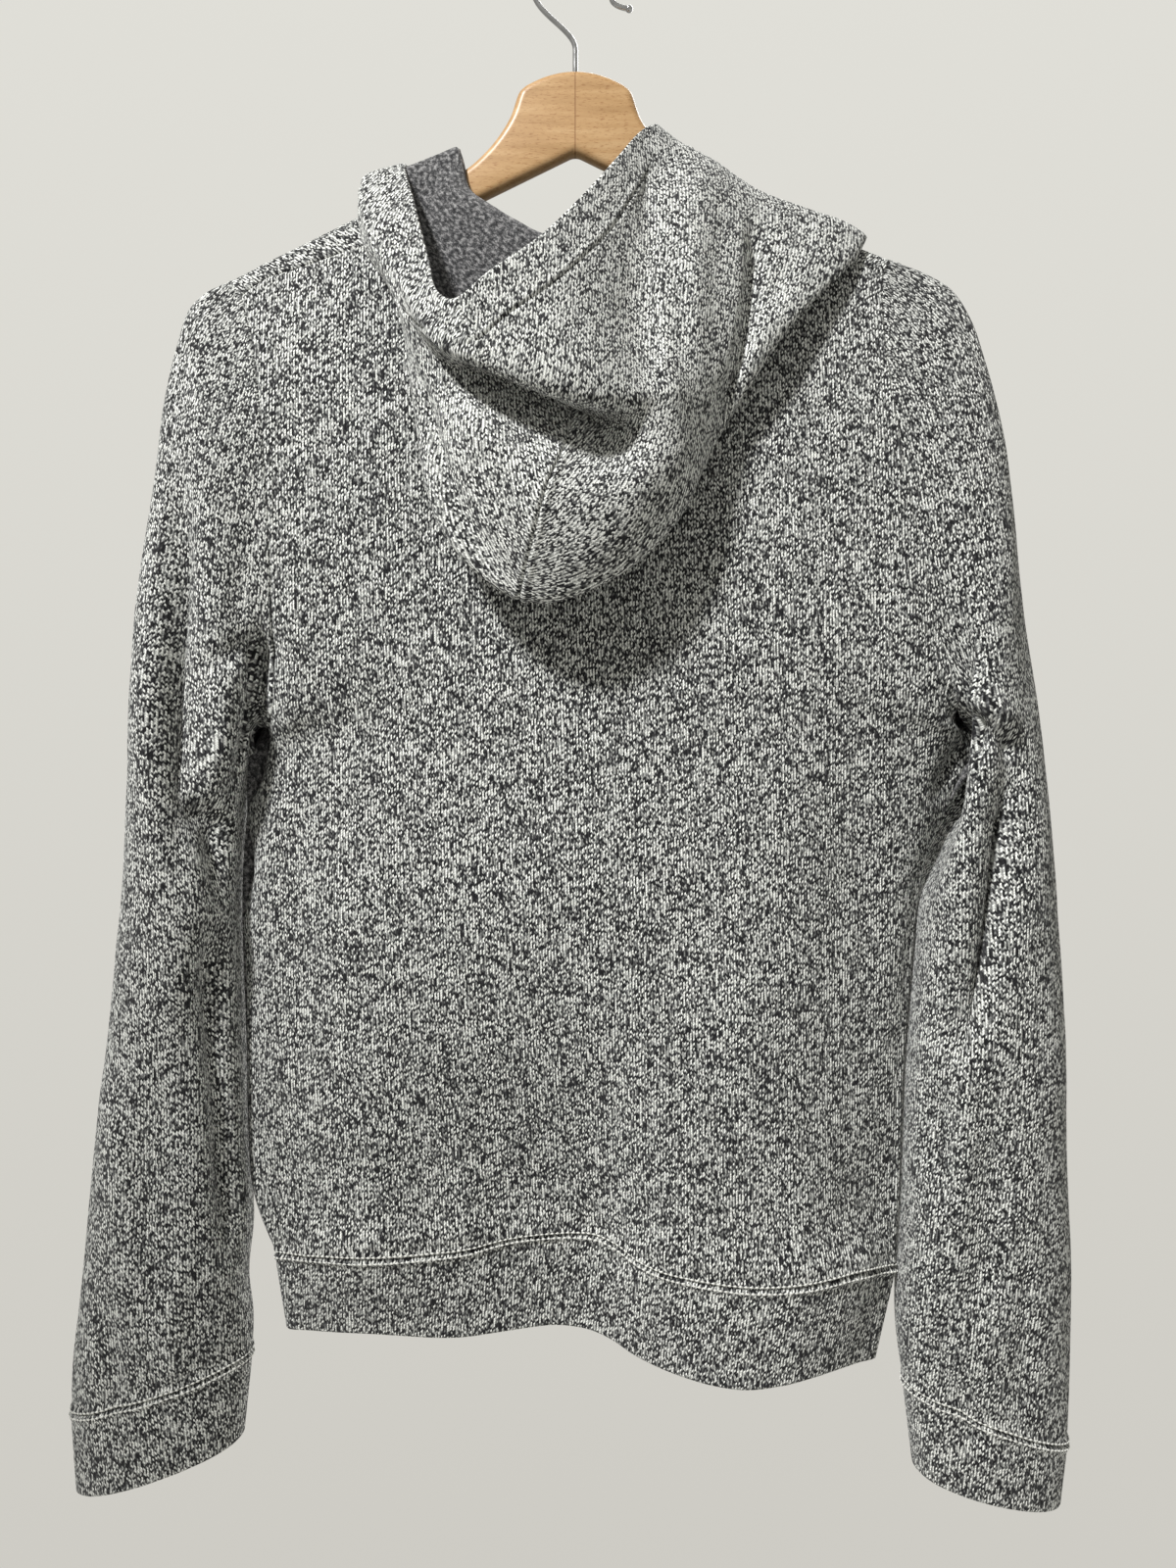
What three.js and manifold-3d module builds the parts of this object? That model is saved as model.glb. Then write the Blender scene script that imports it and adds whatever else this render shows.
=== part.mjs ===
// A marled knit hoodie on a wooden hanger, seen as it hangs: its hood is thrown down the back.
// Millimetres. The origin is the inside top of the hanger's hook, +Z is up, the garment's back
// faces -Y and its front +Y. The wearer's left sleeve is at -X.
import * as THREE from "three";
import Module from "manifold-3d";

// ---------------------------------------------------------------- driving dimensions
const CLOTH = 2; // one layer of knit
const DOUBLE = 3; // turned hem, cuffs and waistband
const SEAM_GAP = 0.3;
const COVER = 2.15; // from the hanger's surface to the middle of the cloth that lies on it

const HANGER_SPAN = 437;
const HANGER_THICK = 11;
const HANGER_EDGE = 5.2; // radius of the wood's rounded edges
const WOOD_TOP_Z = -76;
const ARM_ROOT_X = 66; // where the arm's straight top edge begins
const ARM_ROOT_Z = -134.5;
const ARM_SLOPE = 0.497;
const ARM_TIP_DROP = 20; // height of the arm near its tip
const NOTCH_Z = -124;
const DOME_X = 29;
const DOME_Z = -84.5;

const WIRE_R = 1.5;
const LOOP_R = 24;
const LOOP_X = -1.5;
const BORE_CLEAR = 0.3;
const BORE_DEPTH = 20;

const BACK_DEPTH = 33; // how far the back and front hang from the hanger's plane
const FRONT_DEPTH = 25;
const RIDGE_HALF = 8.8; // half thickness of the cloth where it bends over the arm
const RIDGE_DROP = 7;
const FALL_LENGTH = 70; // how fast the panels swing out below the shoulder

// Angles from the top of the armhole to the underarm, closer where cloth bends over the arm.
const ROUND_ARMHOLE = [0, 8, 22, 42, 62, 84, 106, 130, 155, 180];
const SIDE_ROWS = 8; // rows between underarm and waistband
const SHOULDER_COLUMNS = 4;
const BACK_NECK_COLUMNS = 18;

// ---------------------------------------------------------------- tables
const table = (names, rows) =>
  rows.map((row) => Object.fromEntries(names.split(" ").map((name, k) => [name, row[k]])));

const ARMHOLES = {
  left: { topX: -204, underX: -187, underZ: -470, bow: 24, lift: 0 },
  right: { topX: 187, underX: 238, underZ: -470, bow: -24, lift: 4 },
};

// Side seams, from the underarm down.
const SIDE_LEFT = table("z x", [
  [-470, -187], [-500, -190], [-527, -192], [-560, -193.5], [-600, -192],
  [-660, -190], [-717, -188], [-742, -181], [-761, -173],
]);
const SIDE_RIGHT = table("z x", [
  [-470, 238], [-489, 224], [-511, 212], [-531, 204], [-557, 199],
  [-610, 194], [-660, 190.5], [-716, 188.5], [-769, 185],
]);

// The line where the waistband is sewn on, and the band's lower edge.
const HEM_BACK = table("x z y low lowY", [
  [-173, -761, -2, -807, 3],
  [-150, -758.4, -15, -805, -6],
  [-116, -757.8, -21, -804, -12],
  [-70, -756, -16, -806, -12],
  [-36, -750, -9, -803, -9],
  [-7, -748.3, -6, -802, -4],
  [18, -751, -9, -805, -8],
  [42, -762, -24, -815, -18],
  [69, -766.5, -33, -821, -30],
  [101, -769, -37, -824, -38],
  [131, -767.5, -34, -822, -34],
  [158, -765, -23, -820, -22],
  [185, -769, -2, -821, -4],
]);
const HEM_FRONT = table("x z y low lowY", [
  [-173, -761, -2, -807, 3],
  [-120, -752, 22, -799, 22],
  [-60, -750, 16, -797, 18],
  [0, -748, 22, -796, 24],
  [60, -750, 15, -799, 15],
  [120, -757, 22, -806, 22],
  [185, -769, -2, -821, -4],
]);

// Shoulder seams run behind the ridge of the shoulder: this far at the neck, and at the armhole
// as far as the second corner of its back half.
const SEAM_BEHIND = 24;
const SEAM_CORNER = 2;
const NECK_RIM = 12; // the front panel's first rows of facets lie within this below its neckline
const NECK_RIM_CENTRE = 50;
const NECK_LEFT_X = -113;
const NECK_RIGHT_X = 113;
const BACK_NECK = table("x z", [
  [-113, -180], [-85, -192], [-45, -201], [0, -203], [45, -201], [85, -192], [113, -180],
]);
// The front neckline starts behind the ridge, crosses it and dips: depth below the ridge.
const FRONT_NECK = table("x below", [
  [-113, -24], [-108.5, -2.2], [-106, 0], [-103.5, 2.2], [-100, 12], [-88, 36], [-68, 64],
  [-40, 97], [0, 117], [40, 97],
  [68, 64], [88, 36], [100, 12], [103.5, 2.2], [106, 0], [108.5, -2.2], [113, -24],
]);

// Sleeve rings: the outer and the under edge of each ring, and how far it reaches back and front.
// "drape" is 0 where the ring still follows the hanger and 1 where it hangs free.
const SLEEVE_LEFT = table("outerX outerZ underX underZ back front drape", [
  [-215, -206.5, -193, -473.5, 34, 27, 0.03],
  [-222, -213, -195.5, -482, 35, 28, 0.1],
  [-229, -233, -199, -491, 36, 29, 0.35],
  [-236, -265, -203, -503, 37, 30, 0.6],
  [-241, -312, -206.5, -519, 38, 31, 0.8],
  [-247.5, -370, -210, -538, 40, 32, 1],
  [-251.5, -430, -212, -560, 42, 33, 1],
  [-255, -490, -211, -590, 42, 34, 1],
  [-258.5, -552, -207.5, -628, 40, 34, 1],
  [-264.5, -612, -204.5, -668, 38, 33, 1],
  [-271.5, -668, -202, -708, 37, 31, 1],
  [-277.5, -722, -199, -742, 36, 29, 1],
  [-283, -780, -195, -776, 36, 26, 1],
  [-288, -822, -188.5, -800, 34, 22, 1],
  [-289, -849, -189, -817.5, 32, 18, 1],
]);
const SLEEVE_RIGHT = table("outerX outerZ underX underZ back front drape", [
  [203, -194.5, 242, -473, 34, 27, 0.03],
  [217, -203.5, 242.5, -479, 35, 28, 0.1],
  [227.5, -219, 239, -488, 36, 29, 0.3],
  [235, -242, 232, -500, 37, 30, 0.55],
  [243, -275, 222, -515, 38, 31, 0.75],
  [249, -325, 212, -534, 40, 32, 0.95],
  [255.5, -385, 207, -556, 42, 33, 1],
  [265, -448, 203.5, -584, 44, 34, 1],
  [271.5, -515, 200.5, -618, 44, 34, 1],
  [276.5, -580, 198, -655, 42, 33, 1],
  [279.5, -645, 196.5, -696, 40, 31, 1],
  [281.5, -712, 195, -736, 38, 29, 1],
  [284, -772, 192, -772, 36, 26, 1],
  [283.5, -826, 189, -803, 34, 22, 1],
  [282, -866, 191.5, -834, 32, 18, 1],
]);
const CUFFS = {
  left: { outerX: -286, outerZ: -895, underX: -194, underZ: -866, back: 30, front: 17 },
  right: { outerX: 278, outerZ: -902, underX: 197.5, underZ: -884, back: 30, front: 17 },
};

// Soft creases of body and sleeves: a bent line through three places, how far it lifts the cloth
// (below zero it is a trough) and how wide it spreads. Side -1 is the back, 1 the front.
const CREASES = table("side x0 z0 x1 z1 x2 z2 lift spread", [
  [-1, -222, -250, -223, -400, -222, -570, -15, 9],
  [-1, -182, -380, -180, -440, -190, -500, 9, 12],
  [-1, 246, -450, 236, -520, 219, -620, -17, 9],
  [-1, 231, -640, 229, -740, 222, -800, -7, 12],
  [-1, -190, -560, -226, -640, -240, -760, -4, 16],
  [-1, 152, -430, 160, -560, 155, -720, -4, 22],
  [-1, -150, -480, -165, -560, -160, -660, -4, 18],
  [-1, 92, -520, 98, -600, 96, -700, 3, 22],
  [1, -223, -260, -225, -400, -222, -560, -8, 12],
  [1, 232, -300, 236, -450, 226, -620, -8, 12],
]);

// The hood, a row for each section from its front left end round the back to its front right
// end. "at" is the column of the neck seam. Each section runs from the rim, its open edge, to the
// brow that hangs over, the tuck under it, the belly, the fold where the hood turns back inside,
// and the roll over which it goes down to the neck seam.
const HOOD = [
  // at  rim               brow              tuck              belly             fold              roll
  [0, [-2, 29, -224], [-2, 29, -228], [-2, 29, -231], [-2, 28.5, -235], [-2, 28, -239], [-2, 27, -245]],
  [3, [-54, 30, -182], [-66, 34, -188], [-71, 35, -191], [-76, 35, -194], [-84, 32, -202],
    [-62, 21, -170]],
  [6, [-96, 1, -131], [-108, 0, -135], [-112, -1, -137], [-115, -2, -139], [-118, -3, -144],
    [-69, 0, -121]],
  [10, [-87, -42, -174], [-104, -44, -178], [-109, -44, -180], [-113, -42, -182],
    [-117, -34, -188], [-61, -12, -149]],
  [12, [-77, -64, -212], [-92, -64, -218], [-95, -62, -222], [-96, -57, -227], [-95, -45, -232],
    [-46, -18, -163]],
  [13.7, [-74, -74, -226], [-76, -78, -254], [-74, -64, -260], [-75, -60, -280],
    [-79, -48, -289], [-33, -21.5, -172]],
  [15.3, [-69, -80, -235], [-62, -85, -266], [-48, -58, -268], [-54, -67, -303],
    [-63, -52, -345], [-20, -23.5, -179]],
  [17, [-60, -84, -238], [-49, -89, -272], [-2, -55, -286], [-14, -72, -335], [-24, -55, -389],
    [0, -24, -184]],
  [18.5, [-42, -81, -222], [-23, -91, -286], [18, -54, -296], [22, -71, -336], [9, -56, -378],
    [18, -24, -186]],
  [20, [-17, -73, -201], [13, -88, -297], [36, -58, -300], [49, -62, -320], [46, -54, -341],
    [36, -23.5, -187]],
  [21.7, [7, -54, -169], [43, -64, -270], [60, -67, -283], [72, -53, -293], [79, -46, -298],
    [58, -21.5, -183]],
  [23.3, [23, -36, -143], [41, -50, -211], [66, -60, -230], [86, -43, -246], [113, -39, -243],
    [80, -18.5, -176]],
  [25, [36, -18, -120], [41, -27, -154], [68, -40, -176], [95, -31, -196], [139, -31, -213],
    [96, -12, -163]],
  [27, [45, -8, -110], [58, -11, -126], [78, -20, -145], [99, -19, -162], [160, -16, -188],
    [100, -6, -149.5]],
  [28, [46, -1, -109], [60, -1, -118], [80, -3, -129], [104, -3, -145], [168, -3, -172.5],
    [100, 0, -146.5]],
  [29, [46, 8, -116], [60, 9, -127], [82, 13, -141], [106, 14, -155], [162, 15.5, -182.5],
    [98, 9, -148.5]],
  [30, [42, 15, -136], [66, 17, -150], [90, 20, -162], [112, 20, -172], [150, 20, -197],
    [93, 13.5, -156.5]],
  [31, [32, 21, -160], [62, 25, -174], [84, 28, -184], [102, 28, -194], [130, 26, -211],
    [82, 19, -169]],
  [34, [2, 29, -224], [2, 29, -228], [2, 29, -231], [2, 28.5, -235], [2, 28, -239], [2, 27, -245]],
].map(([at, rim, brow, tuck, belly, fold, roll]) => ({ at, rim, brow, tuck, belly, fold, roll }));
const CASING = 27; // width of the hood's turned hem
const OFF_BACK = 4.5; // how far the hood's inner layer hangs from the back
const OFF_RIDGE = 2.7; // and how far it lies over the ridge of the shoulder
// How many rows of facets each stretch of a hood section has, from rim to neck seam.
const HOOD_ROWS = [2, 2, 2, 2, 2, 1, 1, 1, 2, 2, 2];
const FOLD_ROUND = 2.3; // half the thickness of the hood's outer fold
const FOLD_SPAN = 8;

// ---------------------------------------------------------------- curves
const mix = (a, b, t) => a + (b - a) * t;
const clamp01 = (t) => Math.min(1, Math.max(0, t));
const smooth = (t) => clamp01(t) ** 2 * (3 - 2 * clamp01(t));
const hermite = (from, to, slopeFrom, slopeTo, t) =>
  (2 * t ** 3 - 3 * t ** 2 + 1) * from + (t ** 3 - 2 * t ** 2 + t) * slopeFrom +
  (3 * t ** 2 - 2 * t ** 3) * to + (t ** 3 - t ** 2) * slopeTo;

// A smooth line through the rows of a table: one column's value at a place on another. Columns
// are given by name, or by a function of the row.
function through(rows, key, place, column) {
  const placeOf = typeof key === "string" ? (row) => row[key] : key;
  const valueOf = typeof column === "string" ? (row) => row[column] : column;
  const last = rows.length - 1;
  const rising = placeOf(rows[last]) > placeOf(rows[0]) ? 1 : -1;
  let k = 0;
  while (k < last - 1 && (placeOf(rows[k + 1]) - place) * rising < 0) k += 1;
  const slope = (n) => {
    const a = rows[Math.max(0, n - 1)];
    const b = rows[Math.min(last, n + 1)];
    return (valueOf(b) - valueOf(a)) / (placeOf(b) - placeOf(a));
  };
  const span = placeOf(rows[k + 1]) - placeOf(rows[k]);
  const t = clamp01((place - placeOf(rows[k])) / span);
  return hermite(valueOf(rows[k]), valueOf(rows[k + 1]), slope(k) * span, slope(k + 1) * span, t);
}

// ---------------------------------------------------------------- body
// Middle of the cloth where it bends over the arm.
function ridgeZ(x) {
  const along = Math.max(0, Math.abs(x) - ARM_ROOT_X);
  const lifted = x > 0 ? ARMHOLES.right.lift * smooth((x - 150) / 40) : 0;
  return ARM_ROOT_Z - along * ARM_SLOPE + COVER + lifted;
}

// How far the cloth stands from the hanger's plane at a depth below the ridge.
function swing(below, depth) {
  if (below < RIDGE_DROP) {
    return RIDGE_HALF * Math.sqrt(Math.max(0, 1 - (1 - below / RIDGE_DROP) ** 2));
  }
  return RIDGE_HALF + (depth - RIDGE_HALF) * (1 - Math.exp((RIDGE_DROP - below) / FALL_LENGTH));
}

const faceDepth = (face) => (face < 0 ? BACK_DEPTH : FRONT_DEPTH);

// A place on an armhole seam: degrees from its top, face -1 for the back half and 1 for the front.
function armhole(side, degrees, face) {
  const hole = ARMHOLES[side];
  const topZ = ridgeZ(hole.topX);
  const angle = (degrees * Math.PI) / 180;
  const down = (1 - Math.cos(angle)) / 2;
  const x = mix(hole.topX, hole.underX, down) + hole.bow * Math.sin(angle) ** 0.7;
  const z = mix(topZ, hole.underZ, down);
  const closing = degrees > 90 ? Math.sin(angle) ** 0.9 : 1;
  const y = face * swing(Math.max(topZ, ridgeZ(x)) - z, faceDepth(face)) * closing;
  return new THREE.Vector3(x, degrees === 180 ? 0 : y, z);
}

// How much a crease lifts the cloth at a place: strongest along its line, gone at both ends.
function creaseLift(crease, x, z) {
  let lift = 0;
  const steps = 24;
  for (let k = 0; k <= steps; k += 1) {
    const t = k / steps;
    const lineX = (1 - t) ** 2 * crease.x0 + 2 * t * (1 - t) * crease.x1 + t * t * crease.x2;
    const lineZ = (1 - t) ** 2 * crease.z0 + 2 * t * (1 - t) * crease.z1 + t * t * crease.z2;
    const away = ((x - lineX) ** 2 + (z - lineZ) ** 2) / crease.spread ** 2;
    lift = Math.max(lift, Math.sin(Math.PI * mix(0.08, 0.92, t)) * Math.exp(-away));
  }
  return lift * crease.lift;
}

function creased(point) {
  const face = Math.sign(point.y);
  const weight = smooth((Math.abs(point.y) - 9) / 14);
  let moved = 0;
  for (const crease of CREASES) {
    if (crease.side === face) moved += creaseLift(crease, point.x, point.z);
  }
  return new THREE.Vector3(point.x, point.y + face * moved * weight, point.z);
}

// The columns of a panel: a shoulder, the neck, a shoulder. Neck columns stand at an x of their
// own; shoulder columns at a part of the way from the armhole to the neck.
function columnsAcross(face) {
  const evenly = (k) => mix(NECK_LEFT_X, NECK_RIGHT_X, k / BACK_NECK_COLUMNS);
  const neck = face > 0
    ? FRONT_NECK.map((row) => row.x)
    : Array.from({ length: BACK_NECK_COLUMNS + 1 }, (_, k) => evenly(k));
  const parts = Array.from({ length: SHOULDER_COLUMNS }, (_, k) => (k / SHOULDER_COLUMNS) ** 1.3);
  return [
    ...parts.map((part) => ({ part, toX: NECK_LEFT_X, side: "left" })),
    ...neck.map((x) => ({ part: 1, toX: x, side: x < 0 ? "left" : "right" })),
    ...parts.reverse().map((part) => ({ part, toX: NECK_RIGHT_X, side: "right" })),
  ];
}

// The left or right edge of the body, from the shoulder down the armhole and the side seam.
function sideEdge(side, face) {
  const hole = ROUND_ARMHOLE.map((degrees) => armhole(side, degrees, face));
  const overTop = ROUND_ARMHOLE.slice(1, SEAM_CORNER + 1).reverse();
  const edge = face < 0
    ? hole.slice(SEAM_CORNER)
    : [...overTop.map((degrees) => armhole(side, degrees, -1)), ...hole];
  const rows = side === "left" ? SIDE_LEFT : SIDE_RIGHT;
  const top = rows[0].z;
  const low = rows[rows.length - 1].z;
  for (let k = 1; k <= SIDE_ROWS; k += 1) {
    const z = mix(top, low, k / SIDE_ROWS);
    edge.push(new THREE.Vector3(through(rows, "z", z, "x"), -2 * (k / SIDE_ROWS), z));
  }
  return edge;
}

// A place on the shoulders: below the ridge by a depth, which is negative behind the ridge.
function shoulderPlace(x, below) {
  const depth = below < 0 ? -BACK_DEPTH : FRONT_DEPTH;
  const y = Math.sign(depth) * swing(Math.abs(below), Math.abs(depth));
  return new THREE.Vector3(x, y, ridgeZ(x) - Math.abs(below));
}

const leftTop = armhole("left", 0, -1);
const armholeSeamDepth = leftTop.z - armhole("left", ROUND_ARMHOLE[SEAM_CORNER], -1).z;

// The top edge of a panel as depths below the ridge: shoulder seam, neck, shoulder seam.
function topDepth(face, { part, toX }) {
  if (part < 1) return -mix(armholeSeamDepth, SEAM_BEHIND, part);
  if (face > 0) return FRONT_NECK.find((row) => row.x === toX).below;
  return through(BACK_NECK, "x", toX, "z") - ridgeZ(toX);
}

// One half of the body as a grid of places: rows from the shoulder to the hem seam.
function bodyHalf(face) {
  const columns = columnsAcross(face);
  const lastColumn = columns.length - 1;
  const leftEdge = sideEdge("left", face);
  const rightEdge = sideEdge("right", face);
  const hem = face < 0 ? HEM_BACK : HEM_FRONT;
  const lastRow = leftEdge.length - 1;
  const hemLeft = HEM_BACK[0];
  const hemRight = HEM_BACK[HEM_BACK.length - 1];

  const place = (row, column) => {
    const from = leftEdge[row];
    const to = rightEdge[row];
    if (column === 0) return from;
    if (column === lastColumn) return to;
    const across = columns[column];
    const nearEdge = across.side === "left" ? leftEdge : rightEdge;
    const nearX = (near) => mix(nearEdge[near].x, across.toX, across.part);
    const topX = nearX(0);
    const below = topDepth(face, across);
    const top = shoulderPlace(topX, below);
    if (row === 0) return top;
    const f = (nearX(0) - leftEdge[0].x) / (rightEdge[0].x - leftEdge[0].x);
    const hemX = mix(hemLeft.x, hemRight.x, f);
    const hemZ = through(hem, "x", hemX, "z");
    const hemY = through(hem, "x", hemX, "y");
    if (row === lastRow) return new THREE.Vector3(hemX, hemY, hemZ);
    const down = row / lastRow;
    const x = mix(nearX(row), mix(from.x, to.x, f), smooth(down / 0.6));
    // The front panel's first rows go over the ridge, or stay close below its neckline.
    const firstRows = face > 0 ? 2 * SEAM_CORNER : 0;
    const corner = (part) => {
      const depth = leftTop.z - armhole("left", ROUND_ARMHOLE[Math.abs(part - SEAM_CORNER)], 1).z;
      const opening = NECK_RIM + NECK_RIM_CENTRE * smooth(1 - Math.abs(topX) / ARM_ROOT_X);
      if (below < 0) return Math.sign(part - SEAM_CORNER) * depth;
      return below + opening * (part / firstRows) ** 2;
    };
    if (face > 0 && row <= firstRows) return shoulderPlace(nearX(row), corner(row));
    const start = face > 0 ? ridgeZ(topX) - corner(firstRows) : top.z;
    const byEdges =
      mix(from.z, to.z, f) +
      (top.z - mix(leftEdge[0].z, rightEdge[0].z, f)) * (1 - smooth(down / 0.62)) +
      (hemZ - mix(leftEdge[lastRow].z, rightEdge[lastRow].z, f)) * smooth((down - 0.4) / 0.6);
    const evenly = mix(start, hemZ, (row - firstRows) / (lastRow - firstRows));
    const z = mix(byEdges, evenly, smooth(Math.min(f, 1 - f) / 0.3));
    const free = face * swing(ridgeZ(x) - z, faceDepth(face));
    const middle = mix(free, hemY, smooth((-z - 560) / 200));
    const side = mix(from.y, to.y, f);
    const round = (1 - Math.abs(2 * f - 1) ** 2.6) ** 0.6;
    const edgeShare = row < lastRow - SIDE_ROWS ? clamp01(Math.abs(side / free)) : 0;
    return new THREE.Vector3(x, mix(side, middle, mix(round, 1, edgeShare ** 2)), z);
  };

  return leftEdge.map((_, row) => columns.map((_c, column) => place(row, column)));
}

const backGrid = bodyHalf(-1);
const frontGrid = bodyHalf(1);

// The waistband: a closed ring, along the back and then the front, from the seam down.
function waistbandGrid() {
  const seam = [
    ...backGrid[backGrid.length - 1],
    ...frontGrid[frontGrid.length - 1].slice(0, -1).reverse(),
  ];
  const backCount = backGrid[0].length;
  const narrowing = 0.948;
  const low = seam.map((place, k) => {
    const hem = k < backCount ? HEM_BACK : HEM_FRONT;
    const x = place.x * narrowing - 3;
    return new THREE.Vector3(x, through(hem, "x", place.x, "lowY"), through(hem, "x", place.x, "low"));
  });
  const half = seam.map((place, k) => place.clone().lerp(low[k], 0.5));
  return [seam, half, low];
}

// ---------------------------------------------------------------- sleeves
// Places around a ring: up the back from the underarm to the top, then down the front.
const AROUND = [
  ...[...ROUND_ARMHOLE].reverse().map((degrees) => ({ degrees, face: -1 })),
  ...ROUND_ARMHOLE.slice(1).map((degrees) => ({ degrees, face: 1 })),
];

function sleeveRing(side, ring) {
  const bow = ARMHOLES[side].bow * (1 - ring.drape);
  return AROUND.map(({ degrees, face }, k) => {
    const even = Math.abs(180 - (360 * k) / (AROUND.length - 1));
    const angle = (mix(degrees, even, ring.drape) * Math.PI) / 180;
    const down = (1 - Math.cos(angle)) / 2;
    const x = mix(ring.outerX, ring.underX, down) + bow * Math.sin(angle) ** 1.6;
    const z = mix(ring.outerZ, ring.underZ, down);
    const reach = face < 0 ? ring.back : ring.front;
    const closing = degrees > 90 ? Math.sin(angle) ** 0.9 : 1;
    const top = Math.abs(x) < HANGER_SPAN / 2 ? Math.max(ring.outerZ, ridgeZ(x)) : ring.outerZ;
    const bent = swing(top - z, reach) * closing;
    const full = reach * Math.sin(angle) ** 0.75;
    const y = degrees === 180 ? 0 : face * mix(bent, full, ring.drape);
    return new THREE.Vector3(x, y, z);
  });
}

function sleeveGrid(side) {
  const rings = side === "left" ? SLEEVE_LEFT : SLEEVE_RIGHT;
  const hole = AROUND.map(({ degrees, face }) => armhole(side, degrees, face));
  return [hole, ...rings.map((ring) => sleeveRing(side, ring))];
}

function cuffGrid(side) {
  const rings = side === "left" ? SLEEVE_LEFT : SLEEVE_RIGHT;
  const seam = sleeveRing(side, rings[rings.length - 1]);
  const low = sleeveRing(side, { ...CUFFS[side], drape: 1 });
  return [seam, seam.map((place, k) => place.clone().lerp(low[k], 0.5)), low];
}

// ---------------------------------------------------------------- hood
const LEFT_NECK = FRONT_NECK.length >> 1; // columns from the front centre to the shoulder seam
const LEFT_RIDGE = LEFT_NECK - SEAM_CORNER; // the column that crosses the shoulder's ridge
const HOOD_COLUMNS = 2 * LEFT_NECK + BACK_NECK_COLUMNS;

// The neck seam as the body's own places, so that hood and body meet.
function neckPlace(column) {
  const front = frontGrid[0];
  const back = backGrid[0];
  if (column < LEFT_NECK) return front[SHOULDER_COLUMNS + LEFT_NECK - column];
  const onBack = column - LEFT_NECK;
  if (onBack <= BACK_NECK_COLUMNS) return back[SHOULDER_COLUMNS + onBack];
  return front[SHOULDER_COLUMNS + FRONT_NECK.length - 1 - (onBack - BACK_NECK_COLUMNS)];
}

// A centripetal curve through places: stretch k, from 0 to 1 along it.
function curveThrough(places, k, t) {
  const before = places[Math.max(0, k - 1)];
  const from = places[k];
  const to = places[k + 1];
  const after = places[Math.min(places.length - 1, k + 2)];
  const knot = (a, b) => Math.sqrt(Math.max(0.25, a.distanceTo(b)));
  const d0 = knot(before, from);
  const d1 = knot(from, to);
  const d2 = knot(to, after);
  const value = (axis) => {
    const m0 = ((to[axis] - from[axis]) / d1 + (from[axis] - before[axis]) / d0
      - (to[axis] - before[axis]) / (d0 + d1)) * d1;
    const m1 = ((to[axis] - from[axis]) / d1 + (after[axis] - to[axis]) / d2
      - (after[axis] - from[axis]) / (d1 + d2)) * d1;
    return hermite(from[axis], to[axis], m0, m1, t);
  };
  return new THREE.Vector3(value("x"), value("y"), value("z"));
}

// The places that one section of the hood passes through, from the rim to the neck seam.
function hoodSection(column) {
  const at = (name) => new THREE.Vector3(
    ...[0, 1, 2].map((axis) => through(HOOD, (row) => row.at, column, (row) => row[name][axis])),
  );
  const rim = at("rim");
  const brow = at("brow");
  const tuck = at("tuck");
  const belly = at("belly");
  const fold = at("fold");
  const roll = at("roll");
  const neck = neckPlace(column);
  const casing = rim.clone().lerp(brow, Math.min(0.6, CASING / rim.distanceTo(brow)));
  const inside = fold.clone().lerp(roll, 0.5);
  const lip = fold.clone().lerp(roll, 0.86);
  const face = column < LEFT_RIDGE || column > HOOD_COLUMNS - LEFT_RIDGE ? 1 : -1;
  for (const place of [inside, lip]) {
    const below = ridgeZ(place.x) - place.z;
    const clear = face * (swing(Math.max(0, below), faceDepth(face)) + OFF_BACK);
    place.y = mix(place.y, clear, smooth(below / 12));
    if (Math.abs(place.y) < 8) place.z = Math.max(place.z, ridgeZ(place.x) + OFF_RIDGE);
  }
  const upright = smooth((14 - Math.abs(fold.y)) / 14);
  const off = new THREE.Vector3(0, face * (1 - upright), upright + 0.1).normalize();
  const beside = (neighbour, turn) =>
    neighbour.clone().sub(fold).setLength(FOLD_SPAN).add(fold).addScaledVector(off, turn * FOLD_ROUND);
  const narrow = fold.distanceTo(belly) < 2 * FOLD_SPAN;
  const outer = narrow ? fold.clone().lerp(belly, 0.4) : beside(belly, 1);
  const inner = narrow ? fold.clone().lerp(inside, 0.4) : beside(inside, -1);
  return [rim, casing, brow, tuck, belly, outer, fold, inner, inside, lip, roll, neck];
}

function hoodGrid() {
  const grid = [];
  for (let stretch = 0; stretch < HOOD_ROWS.length; stretch += 1) {
    for (let k = 0; k < HOOD_ROWS[stretch]; k += 1) {
      grid.push([]);
      for (let column = 0; column <= HOOD_COLUMNS; column += 1) {
        const section = hoodSection(column);
        grid[grid.length - 1].push(curveThrough(section, stretch, k / HOOD_ROWS[stretch]));
      }
    }
  }
  grid.push(Array.from({ length: HOOD_COLUMNS + 1 }, (_, column) => neckPlace(column)));
  return grid;
}

// ---------------------------------------------------------------- cloth as solids
const knitColour = 0x8d8f92;
const columnsOf = (grid, from, to) => grid.map((line) => line.slice(from, to + 1));
const hood = hoodGrid();
const casingRows = HOOD_ROWS[0];

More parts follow.
